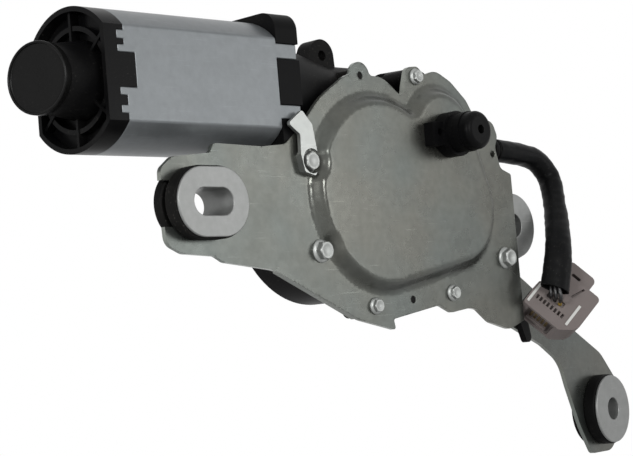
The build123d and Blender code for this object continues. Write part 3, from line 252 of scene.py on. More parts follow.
def noise_node(tree, vector, scale, detail=3.0, roughness=0.5):
    """Noise texture whose scale is a number or a socket."""
    node = tree.nodes.new("ShaderNodeTexNoise")
    for name, value in (("Vector", vector), ("Scale", scale), ("Detail", detail),
                        ("Roughness", roughness)):
        feed(tree, node.inputs[name], value)
    return node.outputs["Fac"]


def range_node(tree, value, low, high, out_low=0.0, out_high=1.0):
    """Map a value from one range to another, held at both ends."""
    node = tree.nodes.new("ShaderNodeMapRange")
    for name, number in (("From Min", low), ("From Max", high), ("To Min", out_low),
                         ("To Max", out_high)):
        node.inputs[name].default_value = number
    tree.links.new(value, node.inputs["Value"])
    return node.outputs["Result"]


def mix_colour(tree, factor, a, b):
    """Mix two colours, each a socket or a plain colour with its alpha."""
    node = tree.nodes.new("ShaderNodeMix")
    node.data_type = "RGBA"
    # A Mix node's number, vector and colour sockets share names, so the colours go by place.
    for slot, value in ((0, factor), (6, a), (7, b)):
        feed(tree, node.inputs[slot], value)
    return node.outputs[2]


def sheet_grain_group():
    """Rolled and plated sheet: clouds in the plate, fine rolling lines, handling marks and a
    painted highlight on the cut sides.
    """
    group, into, out = new_group(
        "plated_sheet",
        (("Colour", "Color", (0.4, 0.4, 0.4, 1.0), 0, 1), ("Clouding", "Float", 0.5, 0, 1),
         ("Rolling", "Float", 0.4, 0, 1), ("Marks", "Float", 0.4, 0, 1),
         ("Tint", "Float", 0.0, 0, 1), ("Edge gain", "Float", 0.0, 0, 4),
         ("Roughness", "Float", 0.4, 0, 1)),
        (("Colour", "Color"), ("Roughness", "Float"), ("Height", "Float")))
    spot = group.nodes.new("ShaderNodeTexCoord")
    place = spot.outputs["Object"]
    clouds = noise_node(group, place, 55.0, 4.0, 0.6)
    spangle = noise_node(group, place, 420.0, 2.0, 0.5)
    lines = stretched(group, place, (60.0, 60.0, 2600.0))
    rolling = noise_node(group, lines, 1.0, 2.0, 0.6)
    scratches = stretched(group, place, (90.0, 400.0, 2200.0), (0.0, 0.6, 0.0))
    marks = range_node(group, noise_node(group, scratches, 1.0, 1.0, 0.4), 0.68, 0.80)
    shade = math_node(group, "MULTIPLY", range_node(group, clouds, 0.3, 0.7, -0.5, 0.5),
                      into.outputs["Clouding"])
    fine = math_node(group, "MULTIPLY", range_node(group, spangle, 0.3, 0.7, -0.12, 0.12),
                     into.outputs["Clouding"])
    worn = math_node(group, "MULTIPLY", marks, into.outputs["Marks"])
    level = math_node(group, "ADD", math_node(group, "MULTIPLY", shade, 0.28), 1.0)
    level = math_node(group, "ADD", level, fine)
    level = math_node(group, "ADD", level, math_node(group, "MULTIPLY", worn, 0.35))
    # Painted highlight: the cut sides of the sheet, whose normals point little along Y, are
    # brightened in colour.
    facing = group.nodes.new("ShaderNodeSeparateXYZ")
    group.links.new(spot.outputs["Normal"], facing.inputs["Vector"])
    cut = range_node(group, math_node(group, "ABSOLUTE", facing.outputs["Y"]),
                     0.15, 0.45, 1.0, 0.0)
    level = math_node(group, "ADD", level,
                      math_node(group, "MULTIPLY", cut, into.outputs["Edge gain"]))
    patches = range_node(group, noise_node(group, place, 32.0, 2.0, 0.5), 0.35, 0.65)
    cold = vector_node(group, "MULTIPLY", into.outputs["Colour"], COLD_TINT)
    blend = mix_colour(group, math_node(group, "MULTIPLY", patches, into.outputs["Tint"]),
                       into.outputs["Colour"], cold)
    group.links.new(vector_node(group, "SCALE", blend, level), out.inputs["Colour"])
    rough = math_node(group, "ADD", into.outputs["Roughness"],
                      math_node(group, "MULTIPLY", shade, 0.16))
    rough = math_node(group, "SUBTRACT", rough, math_node(group, "MULTIPLY", worn, 0.12), True)
    group.links.new(rough, out.inputs["Roughness"])
    height = math_node(group, "MULTIPLY", rolling, into.outputs["Rolling"])
    height = math_node(group, "ADD", height, math_node(group, "MULTIPLY", spangle, 0.25))
    height = math_node(group, "SUBTRACT", height, math_node(group, "MULTIPLY", worn, 0.5))
    group.links.new(height, out.inputs["Height"])
    return group


def moulded_grain_group():
    """Moulded plastic or rubber: fine grain, flow shade and pale dust."""
    group, into, out = new_group(
        "moulded_grain",
        (("Colour", "Color", (0.02, 0.02, 0.02, 1.0), 0, 1),
         ("Grain size", "Float", 900.0, 1, 9000), ("Dust", "Float", 0.3, 0, 1),
         ("Roughness", "Float", 0.5, 0, 1)),
        (("Colour", "Color"), ("Roughness", "Float"), ("Height", "Float")))
    place = group.nodes.new("ShaderNodeTexCoord").outputs["Object"]
    grain = noise_node(group, place, into.outputs["Grain size"], 3.0, 0.6)
    flow = noise_node(group, place, 38.0, 3.0, 0.55)
    specks = range_node(group, noise_node(group, place, 1500.0, 1.0, 0.4), 0.66, 0.74)
    patch = range_node(group, flow, 0.42, 0.68)
    dust = math_node(group, "MULTIPLY", math_node(group, "MULTIPLY", specks, patch),
                     into.outputs["Dust"])
    haze = math_node(group, "MULTIPLY", patch, math_node(group, "MULTIPLY",
                                                      into.outputs["Dust"], 0.10))
    total = math_node(group, "ADD", dust, haze, True)
    group.links.new(mix_colour(group, total, into.outputs["Colour"], DUST),
                    out.inputs["Colour"])
    rough = math_node(group, "ADD", into.outputs["Roughness"],
                      range_node(group, flow, 0.3, 0.7, -0.06, 0.08))
    group.links.new(math_node(group, "ADD", rough, math_node(group, "MULTIPLY", total, 0.3), True),
                    out.inputs["Roughness"])
    group.links.new(grain, out.inputs["Height"])
    return group


def shared_group(name, build):
    """The named group, built the first time it is asked for."""
    return bpy.data.node_groups.get(name) or build()


def new_material(name):
    """Material with its Principled shader, ready for its own nodes."""
    material = bpy.data.materials.new(name)
    material.use_nodes = True
    return material, material.node_tree, material.node_tree.nodes["Principled BSDF"]


def finish_from_group(tree, shader, group, values, bump, distance):
    """Place a finish group, set its values and wire it to the shader."""
    node = tree.nodes.new("ShaderNodeGroup")
    node.node_tree = group
    for name, value in values.items():
        node.inputs[name].default_value = (*value, 1.0) if name == "Colour" else value
    tree.links.new(node.outputs["Colour"], shader.inputs["Base Color"])
    tree.links.new(node.outputs["Roughness"], shader.inputs["Roughness"])
    relief = tree.nodes.new("ShaderNodeBump")
    relief.inputs["Strength"].default_value = bump
    relief.inputs["Distance"].default_value = distance
    tree.links.new(node.outputs["Height"], relief.inputs["Height"])
    tree.links.new(relief.outputs["Normal"], shader.inputs["Normal"])
    return node


def steel(name, base, metallic=0.85, roughness=0.42, clouding=0.5, rolling=0.4, marks=0.4,
          bump=0.25, tint=0.0, edge_highlight=0.0):
    """Plated or bare steel."""
    material, tree, shader = new_material(name)
    shader.inputs["Metallic"].default_value = metallic
    group = shared_group("plated_sheet", sheet_grain_group)
    finish_from_group(tree, shader, group,
                      {"Colour": base, "Clouding": clouding, "Rolling": rolling, "Marks": marks,
                       "Tint": tint, "Edge gain": edge_highlight, "Roughness": roughness},
                      bump, STEEL_RELIEF)
    return material


def moulded(name, base, roughness=0.5, grain=900.0, dust=0.3, bump=0.3, shine=0.045):
    """Moulded plastic or rubber."""
    material, tree, shader = new_material(name)
    shader.inputs["Specular IOR Level"].default_value = shine
    group = shared_group("moulded_grain", moulded_grain_group)
    finish_from_group(tree, shader, group,
                      {"Colour": base, "Grain size": grain, "Dust": dust, "Roughness": roughness},
                      bump, MOULDED_RELIEF)
    return material


def marked_wire():
    """Black insulation with one wire's end yellow green at the connector."""
    material, tree, shader = new_material("wire_insulation")
    group = shared_group("moulded_grain", moulded_grain_group)
    node = finish_from_group(tree, shader, group,
                             {"Colour": WIRE_BLACK, "Grain size": 1800.0, "Dust": 0.1,
                              "Roughness": 0.35}, 0.2, MOULDED_RELIEF)
    place = tree.nodes.new("ShaderNodeTexCoord").outputs["Object"]
    gap = vector_node(tree, "DISTANCE", place, MARKED_WIRE_END)
    near = range_node(tree, gap, 0.0016, 0.0020, 1.0, 0.0)
    tree.links.new(mix_colour(tree, near, node.outputs["Colour"], WIRE_MARK),
                   shader.inputs["Base Color"])
    return material


# ---------------------------------------------------------------- mesh helpers
def dress(names, material):
    """Give the objects of CAD nodes a material."""
    for node in names.split():
        node_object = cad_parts[node]
        node_object.data.materials.clear()
        node_object.data.materials.append(material)


def merged_copy(node, name):
    """Mesh copy of a CAD node with its triangles joined into faces."""
    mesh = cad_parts[node].data.copy()
    mesh.name = name
    work = bmesh.new()
    work.from_mesh(mesh)
    bmesh.ops.remove_doubles(work, verts=work.verts, dist=MERGE_GAP)
    bmesh.ops.dissolve_limit(work, angle_limit=math.radians(FLAT_ANGLE), verts=work.verts,
                             edges=work.edges)
    work.to_mesh(mesh)
    work.free()
    return mesh


def place_piece(name, mesh, material, body, slot, *nodes):
    """Put a finished mesh in the scene as a piece of the object."""
    piece = bpy.data.objects.new(name, mesh)
    bpy.context.scene.collection.objects.link(piece)
    mesh.materials.clear()
    mesh.materials.append(material)
    if nodes:
        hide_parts(*nodes)
    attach(piece, body)
    return piece


def weigh_cut_edges(mesh, limit):
    """Mark for the bevel the edges where a cut side meets a face of the sheet."""
    work = bmesh.new()
    work.from_mesh(mesh)
    layer = work.edges.layers.float.new("bevel_weight_edge")
    for edge in work.edges:
        if len(edge.link_faces) == 2 and edge.calc_face_angle(0.0) > math.radians(limit):
            across = min(abs(face.normal.y) for face in edge.link_faces)
            edge[layer] = 1.0 if across < CUT_SIDE else 0.0
    work.to_mesh(mesh)
    work.free()


def softened(node, name, width, material, body, slot, segments=2, limit=32.0, draw=0.0):
    """Copy of a CAD node with its hard edges rounded, standing for the node.

    With a draw radius the bevel takes the cut sides only, and the rest is pressed round.
    """
    mesh = merged_copy(node, name)
    if draw:
        weigh_cut_edges(mesh, limit)
    scratch = bpy.data.objects.new(name + "_work", mesh)
    bpy.context.scene.collection.objects.link(scratch)
    bevel = scratch.modifiers.new("edges", "BEVEL")
    bevel.width, bevel.segments = width, segments
    bevel.limit_method, bevel.angle_limit = "WEIGHT" if draw else "ANGLE", math.radians(limit)
    bevel.use_clamp_overlap = True
    done = bpy.data.meshes.new_from_object(
        scratch.evaluated_get(bpy.context.evaluated_depsgraph_get()))
    bpy.data.objects.remove(scratch)
    if draw:
        press(done, draw)
    done.name = name
    piece = place_piece(name, done, material, body, slot, node)
    smooth_faces(piece)
    level_shading(piece)


def press(mesh, reach):
    """Round the sheet where it is drawn out, by averaging its height over a small disc."""
    work = bmesh.new()
    work.from_mesh(mesh)
    bmesh.ops.triangulate(work, faces=work.faces)
    surface = BVHTree.FromBMesh(work)
    for axis, first, last in DRAW_AREA:
        normal = Vector((axis == 0, 0.0, axis == 2))
        for k in range(int((last - first) / PRESS_STEP) + 1):
            spot = normal * (first + k * PRESS_STEP)
            bmesh.ops.bisect_plane(work, geom=work.verts[:] + work.edges[:] + work.faces[:],
                                   dist=LEVEL, plane_co=spot, plane_no=normal)
    work.normal_update()
    # The first five spokes lie all round the disc: where they meet flat sheet, the rest is left.
    spokes = [turn + k * 2.0 * math.pi * 0.4 for turn in (0.0, math.pi) for k in range(5)]
    ring = [(reach * part * math.cos(a), reach * part * math.sin(a))
            for part in (1.0, 0.55) for a in spokes]
    heights = {}
    for vert in work.verts:
        if min(abs(face.normal.y) for face in vert.link_faces) < CUT_SIDE:
            continue
        x, y, z = vert.co
        start, way = (y - PRESS_START, 1.0) if vert.normal.y < 0.0 else (y + PRESS_START, -1.0)
        hits = []
        for k, (dx, dz) in enumerate(ring):
            spot = Vector((x + dx, start, z + dz))
            hits.append(surface.ray_cast(spot, Vector((0.0, way, 0.0)), PRESS_RANGE)[0])
            if hits[-1] is None or (k == 4 and all(abs(hit.y - y) < LEVEL for hit in hits)):
                break
        if len(hits) == len(ring) and hits[-1]:
            heights[vert] = (vert.co.y + sum(hit.y for hit in hits)) / (1 + len(hits))
    for vert, y in heights.items():
        vert.co.y = y
    work.to_mesh(mesh)
    work.free()


def thicken(mesh, wall):
    """Give an open skin a wall on its inner side, so that it closes."""
    work = bmesh.new()
    work.from_mesh(mesh)
    bmesh.ops.recalc_face_normals(work, faces=work.faces)
    bmesh.ops.solidify(work, geom=work.faces[:], thickness=wall)
    bmesh.ops.recalc_face_normals(work, faces=work.faces)
    work.to_mesh(mesh)
    work.free()


def smooth_faces(piece, angle=38.0):
    """Smooth shading, kept sharp at real corners."""
    mesh = piece.data
    mesh.polygons.foreach_set("use_smooth", [True] * len(mesh.polygons))
    mesh.set_sharp_from_angle(angle=math.radians(angle))


def level_shading(piece):
    """Keep broad faces flat in the shading, so that only the rounded edges turn."""
    modifier = piece.modifiers.new("level", "WEIGHTED_NORMAL")
    modifier.keep_sharp = True
    modifier.weight = 100
    old = piece.data
    name = old.name
    levelled = bpy.data.meshes.new_from_object(
        piece.evaluated_get(bpy.context.evaluated_depsgraph_get()))
    piece.modifiers.remove(modifier)
    piece.data = levelled
    bpy.data.meshes.remove(old)
    levelled.name = name


# ---------------------------------------------------------------- pieces grown by node trees
def new_tree(name, inputs):
    """Geometry tree with a geometry input, named settings and a material at the end."""
    tree = bpy.data.node_groups.new(name, "GeometryNodeTree")
    tree.interface.new_socket("Geometry", in_out="INPUT", socket_type="NodeSocketGeometry")
    for title, kind, default in inputs + (("Material", "Material", None),):
        socket = tree.interface.new_socket(title, in_out="INPUT", socket_type="NodeSocket" + kind)
        if default is not None:
            socket.default_value = default
    tree.interface.new_socket("Geometry", in_out="OUTPUT", socket_type="NodeSocketGeometry")
    return tree, tree.nodes.new("NodeGroupInput"), tree.nodes.new("NodeGroupOutput")


def close_tree(tree, into, out, geometry):
    """Realize what was grown, give it its material and send it out."""
    real = tree.nodes.new("GeometryNodeRealizeInstances")
    paint = tree.nodes.new("GeometryNodeSetMaterial")
    tree.links.new(geometry, real.inputs["Geometry"])
    tree.links.new(real.outputs["Geometry"], paint.inputs["Geometry"])
    tree.links.new(into.outputs["Material"], paint.inputs["Material"])
    tree.links.new(paint.outputs["Geometry"], out.inputs["Geometry"])


def screw_tree():
    """One screw at each point, each turned by its own angle."""
    tree, into, out = new_tree("screws_at_points",
                               (("Screw", "Object", None), ("Turn seed", "Int", 3)))
    source = tree.nodes.new("GeometryNodeObjectInfo")
    tree.links.new(into.outputs["Screw"], source.inputs["Object"])
    turn = tree.nodes.new("FunctionNodeRandomValue")
    turn.data_type = "FLOAT"
    floats = [s for s in turn.inputs if s.type == "VALUE" and s.name in ("Min", "Max")]
    floats[0].default_value, floats[1].default_value = 0.0, math.radians(60)
    tree.links.new(into.outputs["Turn seed"], turn.inputs["Seed"])
    angle = next(s for s in turn.outputs if s.type == "VALUE" and s.enabled)
    axis = tree.nodes.new("ShaderNodeCombineXYZ")
    tree.links.new(angle, axis.inputs["Y"])
    copies = tree.nodes.new("GeometryNodeInstanceOnPoints")
    tree.links.new(into.outputs["Geometry"], copies.inputs["Points"])
    tree.links.new(source.outputs["Geometry"], copies.inputs["Instance"])
    tree.links.new(axis.outputs["Vector"], copies.inputs["Rotation"])
    close_tree(tree, into, out, copies.outputs["Instances"])
    return tree


def ring_tree():
    """A round bead about the X axis at each point."""
    tree, into, out = new_tree("beads_at_points",
                               (("Ring radius", "Float", 0.004), ("Bead radius", "Float", 0.0004)))
    ring = tree.nodes.new("GeometryNodeCurvePrimitiveCircle")
    ring.inputs["Resolution"].default_value = 48
    bead = tree.nodes.new("GeometryNodeCurvePrimitiveCircle")
    bead.inputs["Resolution"].default_value = 12
    tree.links.new(into.outputs["Ring radius"], ring.inputs["Radius"])
    tree.links.new(into.outputs["Bead radius"], bead.inputs["Radius"])
    torus = tree.nodes.new("GeometryNodeCurveToMesh")
    tree.links.new(ring.outputs["Curve"], torus.inputs["Curve"])
    tree.links.new(bead.outputs["Curve"], torus.inputs["Profile Curve"])
    copies = tree.nodes.new("GeometryNodeInstanceOnPoints")
    copies.inputs["Rotation"].default_value = (0.0, math.radians(90), 0.0)
    tree.links.new(into.outputs["Geometry"], copies.inputs["Points"])
    tree.links.new(torus.outputs["Mesh"], copies.inputs["Instance"])
    close_tree(tree, into, out, copies.outputs["Instances"])
    return tree


def sleeve_tree():
    """Soft creased sleeve along the input's line, spread and squashed at its low end."""
    tree, into, out = new_tree("creased_sleeve",
                               (("Radius", "Float", 0.0043), ("Crease depth", "Float", 0.0002),
                                ("Crease size", "Float", 300.0), ("Seed", "Int", 7),
                                ("Spread", "Float", 0.0), ("Squash", "Float", 0.0),
                                ("Spread way", "Vector", None), ("Squash way", "Vector", None)))
    line = tree.nodes.new("GeometryNodeMeshToCurve")
    tree.links.new(into.outputs["Geometry"], line.inputs["Mesh"])
    round_profile = tree.nodes.new("GeometryNodeCurvePrimitiveCircle")
    round_profile.inputs["Resolution"].default_value = 44
    tree.links.new(into.outputs["Radius"], round_profile.inputs["Radius"])
    skin = tree.nodes.new("GeometryNodeCurveToMesh")
    tree.links.new(line.outputs["Curve"], skin.inputs["Curve"])
    tree.links.new(round_profile.outputs["Curve"], skin.inputs["Profile Curve"])
    noise = tree.nodes.new("ShaderNodeTexNoise")
    noise.noise_dimensions = "4D"
    noise.inputs["Detail"].default_value = 2.0
    place = tree.nodes.new("GeometryNodeInputPosition").outputs["Position"]
    feed(tree, noise.inputs["Vector"], vector_node(tree, "MULTIPLY", place, (0.55, 0.55, 1.6)))
    feed(tree, noise.inputs["W"], into.outputs["Seed"])
    feed(tree, noise.inputs["Scale"], into.outputs["Crease size"])
    depth = math_node(tree, "MULTIPLY", math_node(tree, "SUBTRACT", noise.outputs["Fac"], 0.62),
                      into.outputs["Crease depth"])
    normal = tree.nodes.new("GeometryNodeInputNormal").outputs["Normal"]
    height = tree.nodes.new("ShaderNodeSeparateXYZ")
    tree.links.new(place, height.inputs["Vector"])
    low_end = range_node(tree, height.outputs["Z"], *SLEEVE_LOW_END, 1.0, 0.0)
    total = vector_node(tree, "SCALE", normal, depth)
    for title in ("Spread", "Squash"):
        way = into.outputs[title + " way"]
        amount = math_node(tree, "MULTIPLY", vector_node(tree, "DOT_PRODUCT", normal, way),
                           math_node(tree, "MULTIPLY", low_end, into.outputs[title]))
        total = vector_node(tree, "ADD", total, vector_node(tree, "SCALE", way, amount))
    shift = tree.nodes.new("GeometryNodeSetPosition")
    tree.links.new(skin.outputs["Mesh"], shift.inputs["Geometry"])
    tree.links.new(total, shift.inputs["Offset"])
    close_tree(tree, into, out, shift.outputs["Geometry"])
    return tree


def grow(name, points, edges, tree, values):
    """Run a geometry tree on a line or points and return a plain mesh."""
    host_mesh = bpy.data.meshes.new(name)
    host_mesh.from_pydata(points, edges, [])
    host = bpy.data.objects.new(name + "_work", host_mesh)
    bpy.context.scene.collection.objects.link(host)
    modifier = host.modifiers.new("grow", "NODES")
    modifier.node_group = tree
    for item in tree.interface.items_tree:
        if item.item_type == "SOCKET" and item.in_out == "INPUT" and item.name in values:
            modifier[item.identifier] = values[item.name]
    host.update_tag()
    grown = bpy.data.meshes.new_from_object(
        host.evaluated_get(bpy.context.evaluated_depsgraph_get()))
    host.modifiers.remove(modifier)
    bpy.data.objects.remove(host)
    grown.name = name
    return grown


def ring_radius(shape, radius, angle, limit):
    """Radius of a round or hexagonal outline at an angle, no more than the limit."""
    if shape == "round":
        return radius
    sixth = math.radians(60)
    across = radius * math.cos(sixth / 2)
    return min(across / math.cos((angle % sixth) - sixth / 2), limit)


def turned(name, rings, count=48):
    """Closed mesh from rings of (shape, radius, y, limit), first to last along Y."""
    work = bmesh.new()
    loops = []
    for shape, radius, y, limit in rings:
        loop = []
        for k in range(count):
            angle = 2 * math.pi * k / count
            r = ring_radius(shape, radius, angle, limit)
            loop.append(work.verts.new((r * math.cos(angle), y, r * math.sin(angle))))
        loops.append(loop)
    for a, b in zip(loops, loops[1:]):
        for k in range(count):
            n = (k + 1) % count
            work.faces.new((a[k], a[n], b[n], b[k]))
    work.faces.new(loops[0])
    work.faces.new(loops[-1])
    bmesh.ops.recalc_face_normals(work, faces=work.faces)
    mesh = bpy.data.meshes.new(name)
    work.to_mesh(mesh)
    work.free()
    return mesh


def screw_profile(flange, height):
    """Rings of a flanged hexagonal screw with a shallow dish, from its tip to its head."""
    crown, top, no_limit = flange * 0.86, -height, 9
    rings = (("round", SHANK_R, SHANK_LENGTH, 0), ("round", SHANK_R, 0.0, 0),
             ("round", flange, 0.0, 0), ("round", flange, -0.42, 0),
             ("round", flange - 0.22, -0.72, 0), ("round", crown * 0.98, -0.92, 0),
             ("hex", crown - 0.12, -1.02, no_limit), ("hex", crown - 0.12, top + 0.55, no_limit),
             ("hex", crown - 0.16, top + 0.32, crown * 0.93),
             ("round", crown * 0.80, top + 0.04, 0), ("round", crown * 0.72, top, 0),
             ("round", flange * 0.50, top + 0.02, 0), ("round", flange * 0.36, top + 0.22, 0))
    return [(shape, r * MM, y * MM, limit * MM) for shape, r, y, limit in rings]


def rounded_route(points, radii, step=0.8):
    """Points along straight runs joined by arcs, about one step apart, in metres."""
    corners = [Vector(p) for p in points]
    route = [corners[0]]
    for before, corner, after, radius in zip(corners, corners[1:], corners[2:], radii):
        a, b = (before - corner).normalized(), (after - corner).normalized()
        half = a.angle(b) / 2
        arc = math.pi - 2 * half
        reach = radius / math.tan(half)
        centre = corner + (a + b).normalized() * (radius / math.sin(half))
        first, last = corner + a * reach - centre, corner + b * reach - centre
        axis = first.cross(last).normalized()
        turns = max(3, int(arc * radius / step))
        spokes = [Matrix.Rotation(arc * k / turns, 3, axis) @ first for k in range(1, turns)]
        route += [centre + spoke for spoke in (first, *spokes, last)]
    route.append(corners[-1])
    filled = [route[0]]
    for point in route[1:]:
        gap = (point - filled[-1]).length
        parts = max(1, int(gap / step))
        start = filled[-1]
        for k in range(1, parts + 1):
            filled.append(start.lerp(point, k / parts))
    return [p * MM for p in filled]


# ---------------------------------------------------------------- stage
def build_camera(lens):
    """Camera to the front left of the motor, a little below it and slightly rolled."""
    yaw, pitch, roll = (math.radians(a) for a in CAMERA_TURN)
    right = Vector((math.cos(yaw), -math.sin(yaw), 0.0))
    up = Vector((-math.sin(pitch) * math.sin(yaw), -math.sin(pitch) * math.cos(yaw),
                 math.cos(pitch)))
    back = Vector((-math.sin(yaw) * math.cos(pitch), -math.cos(yaw) * math.cos(pitch),
                   -math.sin(pitch)))
    x_axis = right * math.cos(roll) - up * math.sin(roll)
    y_axis = right * math.sin(roll) + up * math.cos(roll)
    data = bpy.data.cameras.new("camera")
    data.lens, data.sensor_width, data.sensor_fit = lens, SENSOR_WIDTH, "HORIZONTAL"
    data.clip_start, data.clip_end = 0.01, 50.0
    camera = bpy.data.objects.new("camera", data)
    turn = Matrix((x_axis, y_axis, back)).transposed().to_4x4()
    camera.matrix_world = Matrix.Translation(CAMERA_PLACE) @ turn
    bpy.context.scene.collection.objects.link(camera)
    bpy.context.scene.camera = camera


def soft_light(name, place, target, size, energy):
    """Square area light aimed at a point."""
    data = bpy.data.lights.new(name, "AREA")
    data.shape, data.size, data.energy = "SQUARE", size, energy
    lamp = bpy.data.objects.new(name, data)
    lamp.location = place
    aim = Vector(target) - Vector(place)
    lamp.rotation_euler = aim.to_track_quat("-Z", "Y").to_euler()
    bpy.context.scene.collection.objects.link(lamp)


def white_seen(tree):
    """One where a ray from the camera, a reflection or clear glass sees the surface."""
    path = tree.nodes.new("ShaderNodeLightPath")
    seen = math_node(tree, "MAXIMUM", path.outputs["Is Camera Ray"], path.outputs["Is Glossy Ray"])
    return math_node(tree, "MAXIMUM", seen, path.outputs["Is Transmission Ray"])


def build_room(strength):
    """Even room light that shows white."""
    world = bpy.context.scene.world or bpy.data.worlds.new("room")
    bpy.context.scene.world = world
    world.use_nodes = True
    tree = world.node_tree
    back = tree.nodes["Background"]
    level = range_node(tree, white_seen(tree), 0.0, 1.0, strength, 1.0)
    back.inputs["Color"].default_value = WHITE
    tree.links.new(level, back.inputs["Strength"])


def build_floor():
    """Wide pale floor that fades to white for the camera and still takes shadows."""
    mesh = bpy.data.meshes.new("floor")
    corners = ((-1, -1), (1, -1), (1, 1), (-1, 1))
    mesh.from_pydata([(x * FLOOR_HALF, y * FLOOR_HALF, FLOOR_LEVEL) for x, y in corners],
                     [], [(0, 1, 2, 3)])
    floor = bpy.data.objects.new("floor", mesh)
    bpy.context.scene.collection.objects.link(floor)
    material, tree, shader = new_material("pale_floor")
    shader.inputs["Base Color"].default_value = FLOOR_SHADE
    shader.inputs["Roughness"].default_value = 0.9
    shader.inputs["Specular IOR Level"].default_value = 0.1
    place = tree.nodes.new("ShaderNodeTexCoord").outputs["Object"]
    far = range_node(tree, vector_node(tree, "LENGTH", place), *FLOOR_FADE)
    glow = tree.nodes.new("ShaderNodeEmission")
    glow.inputs["Color"].default_value = WHITE
    blend = tree.nodes.new("ShaderNodeMixShader")
    tree.links.new(math_node(tree, "MULTIPLY", far, white_seen(tree)), blend.inputs["Fac"])
    tree.links.new(shader.outputs["BSDF"], blend.inputs[1])
    tree.links.new(glow.outputs["Emission"], blend.inputs[2])
    tree.links.new(blend.outputs["Shader"], tree.nodes["Material Output"].inputs["Surface"])
    mesh.materials.append(material)


class WIPER_OT_stage(Operator):
    """Set up the camera, the soft lights, the room and the floor"""
    bl_idname = "wiper.stage"
    bl_label = "Studio stage"

    def execute(self, context):
        options = context.scene.wiper_stage
        build_camera(options.lens)
        build_room(options.sky)
        build_floor()
        for name, place, target, size in LIGHTS:
            soft_light(name + "_light", place, target, size, getattr(options, name + "_power"))
        context.scene.view_settings.view_transform = "Standard"
        return {"FINISHED"}


# ---------------------------------------------------------------- finishes of the CAD nodes
class WIPER_OT_inner_parts(Operator):
    """Finish the gear train, the armature and the other inner pieces"""
    bl_idname = "wiper.inner_parts"
    bl_label = "Inner pieces"

    def execute(self, context):
        for make, finishes in ((steel, INNER_METALS), (moulded, INNER_MOULDINGS)):
            for *values, names in finishes:
                dress(names, make(*values))
        zinc = steel("zinc_link", tuple(context.scene.wiper_metal.bright), 0.85, 0.38)
        dress("connecting_link swing_lever", zinc)
        dress("lead_wires", marked_wire())
        return {"FINISHED"}


class WIPER_OT_plate(Operator):
    """Make the pressed mounting plate and the can's clamp clip"""
    bl_idname = "wiper.plate"
    bl_label = "Mounting plate"

    def execute(self, context):
        metal = context.scene.wiper_metal
        # The sheet's cut sides get a painted highlight.
        sheet = steel("zinc_plated_sheet", tuple(metal.plate), metallic=0.80, roughness=0.29,
                      clouding=0.7, rolling=0.35, marks=0.5, tint=0.5, edge_highlight=1.6)
        clip = steel("bright_clip", tuple(metal.bright), metallic=0.9, roughness=0.36,
                     clouding=0.4, rolling=0.2, marks=0.5)
        softened("mounting_plate", "plate_pressing", metal.sheet_edge, sheet, "frame",
                 "zinc_plated_steel", limit=20.0, draw=metal.draw_edge)
        softened("clamp_clip", "can_clip", CLIP_EDGE, clip, "frame", "zinc_screw", segments=3)
        return {"FINISHED"}


class WIPER_OT_screws(Operator):
    """Finish the flanged plate screws"""
    bl_idname = "wiper.screws"
    bl_label = "Plate screws"

    def execute(self, context):
        metal = context.scene.wiper_metal
        zinc = steel("zinc_screw", tuple(metal.bright), metallic=0.8, roughness=0.42,
                     clouding=0.5, rolling=0.2, marks=0.4)
        tree = screw_tree()
        for size, places, flange, height in SCREW_KINDS:
            master = bpy.data.objects.new("screw_work",
                                          turned("screw_work", screw_profile(flange, height)))
            context.scene.collection.objects.link(master)
            points = [(x * MM, PLATE_Y, z * MM) for x, z in places]
            mesh = grow(size + "_flanged_screws", points, [], tree,
                        {"Screw": master, "Turn seed": 5, "Material": zinc})
            bpy.data.objects.remove(master)
            piece = place_piece(size + "_flanged_screws", mesh, zinc, "frame", "zinc_screw",
                                "plate_screws_" + size)
            smooth_faces(piece, angle=28.0)
        return {"FINISHED"}


class WIPER_OT_motor(Operator):
    """Make the motor can, its end cap and the bumper"""
    bl_idname = "wiper.motor"
    bl_label = "Motor"

    def execute(self, context):
        metal, black = context.scene.wiper_metal, context.scene.wiper_black
        can = steel("galvanised_can", tuple(metal.can), metallic=0.6, roughness=0.40,
                    clouding=0.45, rolling=0.5, marks=0.35)
        plastic = moulded("cap_plastic", tuple(black.plastic), roughness=0.32, grain=1400.0,
                          dust=0.10, bump=0.15, shine=0.055)
        gloss = moulded("bumper_rubber", tuple(black.rubber), roughness=0.26, grain=1400.0,
                        dust=0.05, bump=0.08, shine=0.11)
        softened("motor_yoke", "motor_can", CAN_EDGE, can, "frame", "can_steel", segments=3)
        softened("end_cap", "ribbed_cap", black.case_edge, plastic, "frame", "black_case")
        softened("end_bumper", "hub_bumper", BUMPER_EDGE, gloss, "frame", "black_rubber",
                 segments=3)
        return {"FINISHED"}


class WIPER_OT_gear_case(Operator):
    """Make the gear case and the water joint"""
    bl_idname = "wiper.gear_case"
    bl_label = "Gear case"

    def execute(self, context):
        black = context.scene.wiper_black
        plastic = moulded("case_plastic", tuple(black.plastic), roughness=0.46, grain=1300.0,
                          dust=0.3, bump=0.25)
        joint = moulded("joint_plastic", tuple(black.plastic), roughness=0.40, grain=1600.0,
                        dust=0.15, bump=0.15)
        softened("gear_housing", "gear_case", black.case_edge, plastic, "frame", "black_case")
        softened("water_nozzle", "water_joint", JOINT_EDGE, joint, "frame", "black_case",
                 segments=3)
        return {"FINISHED"}


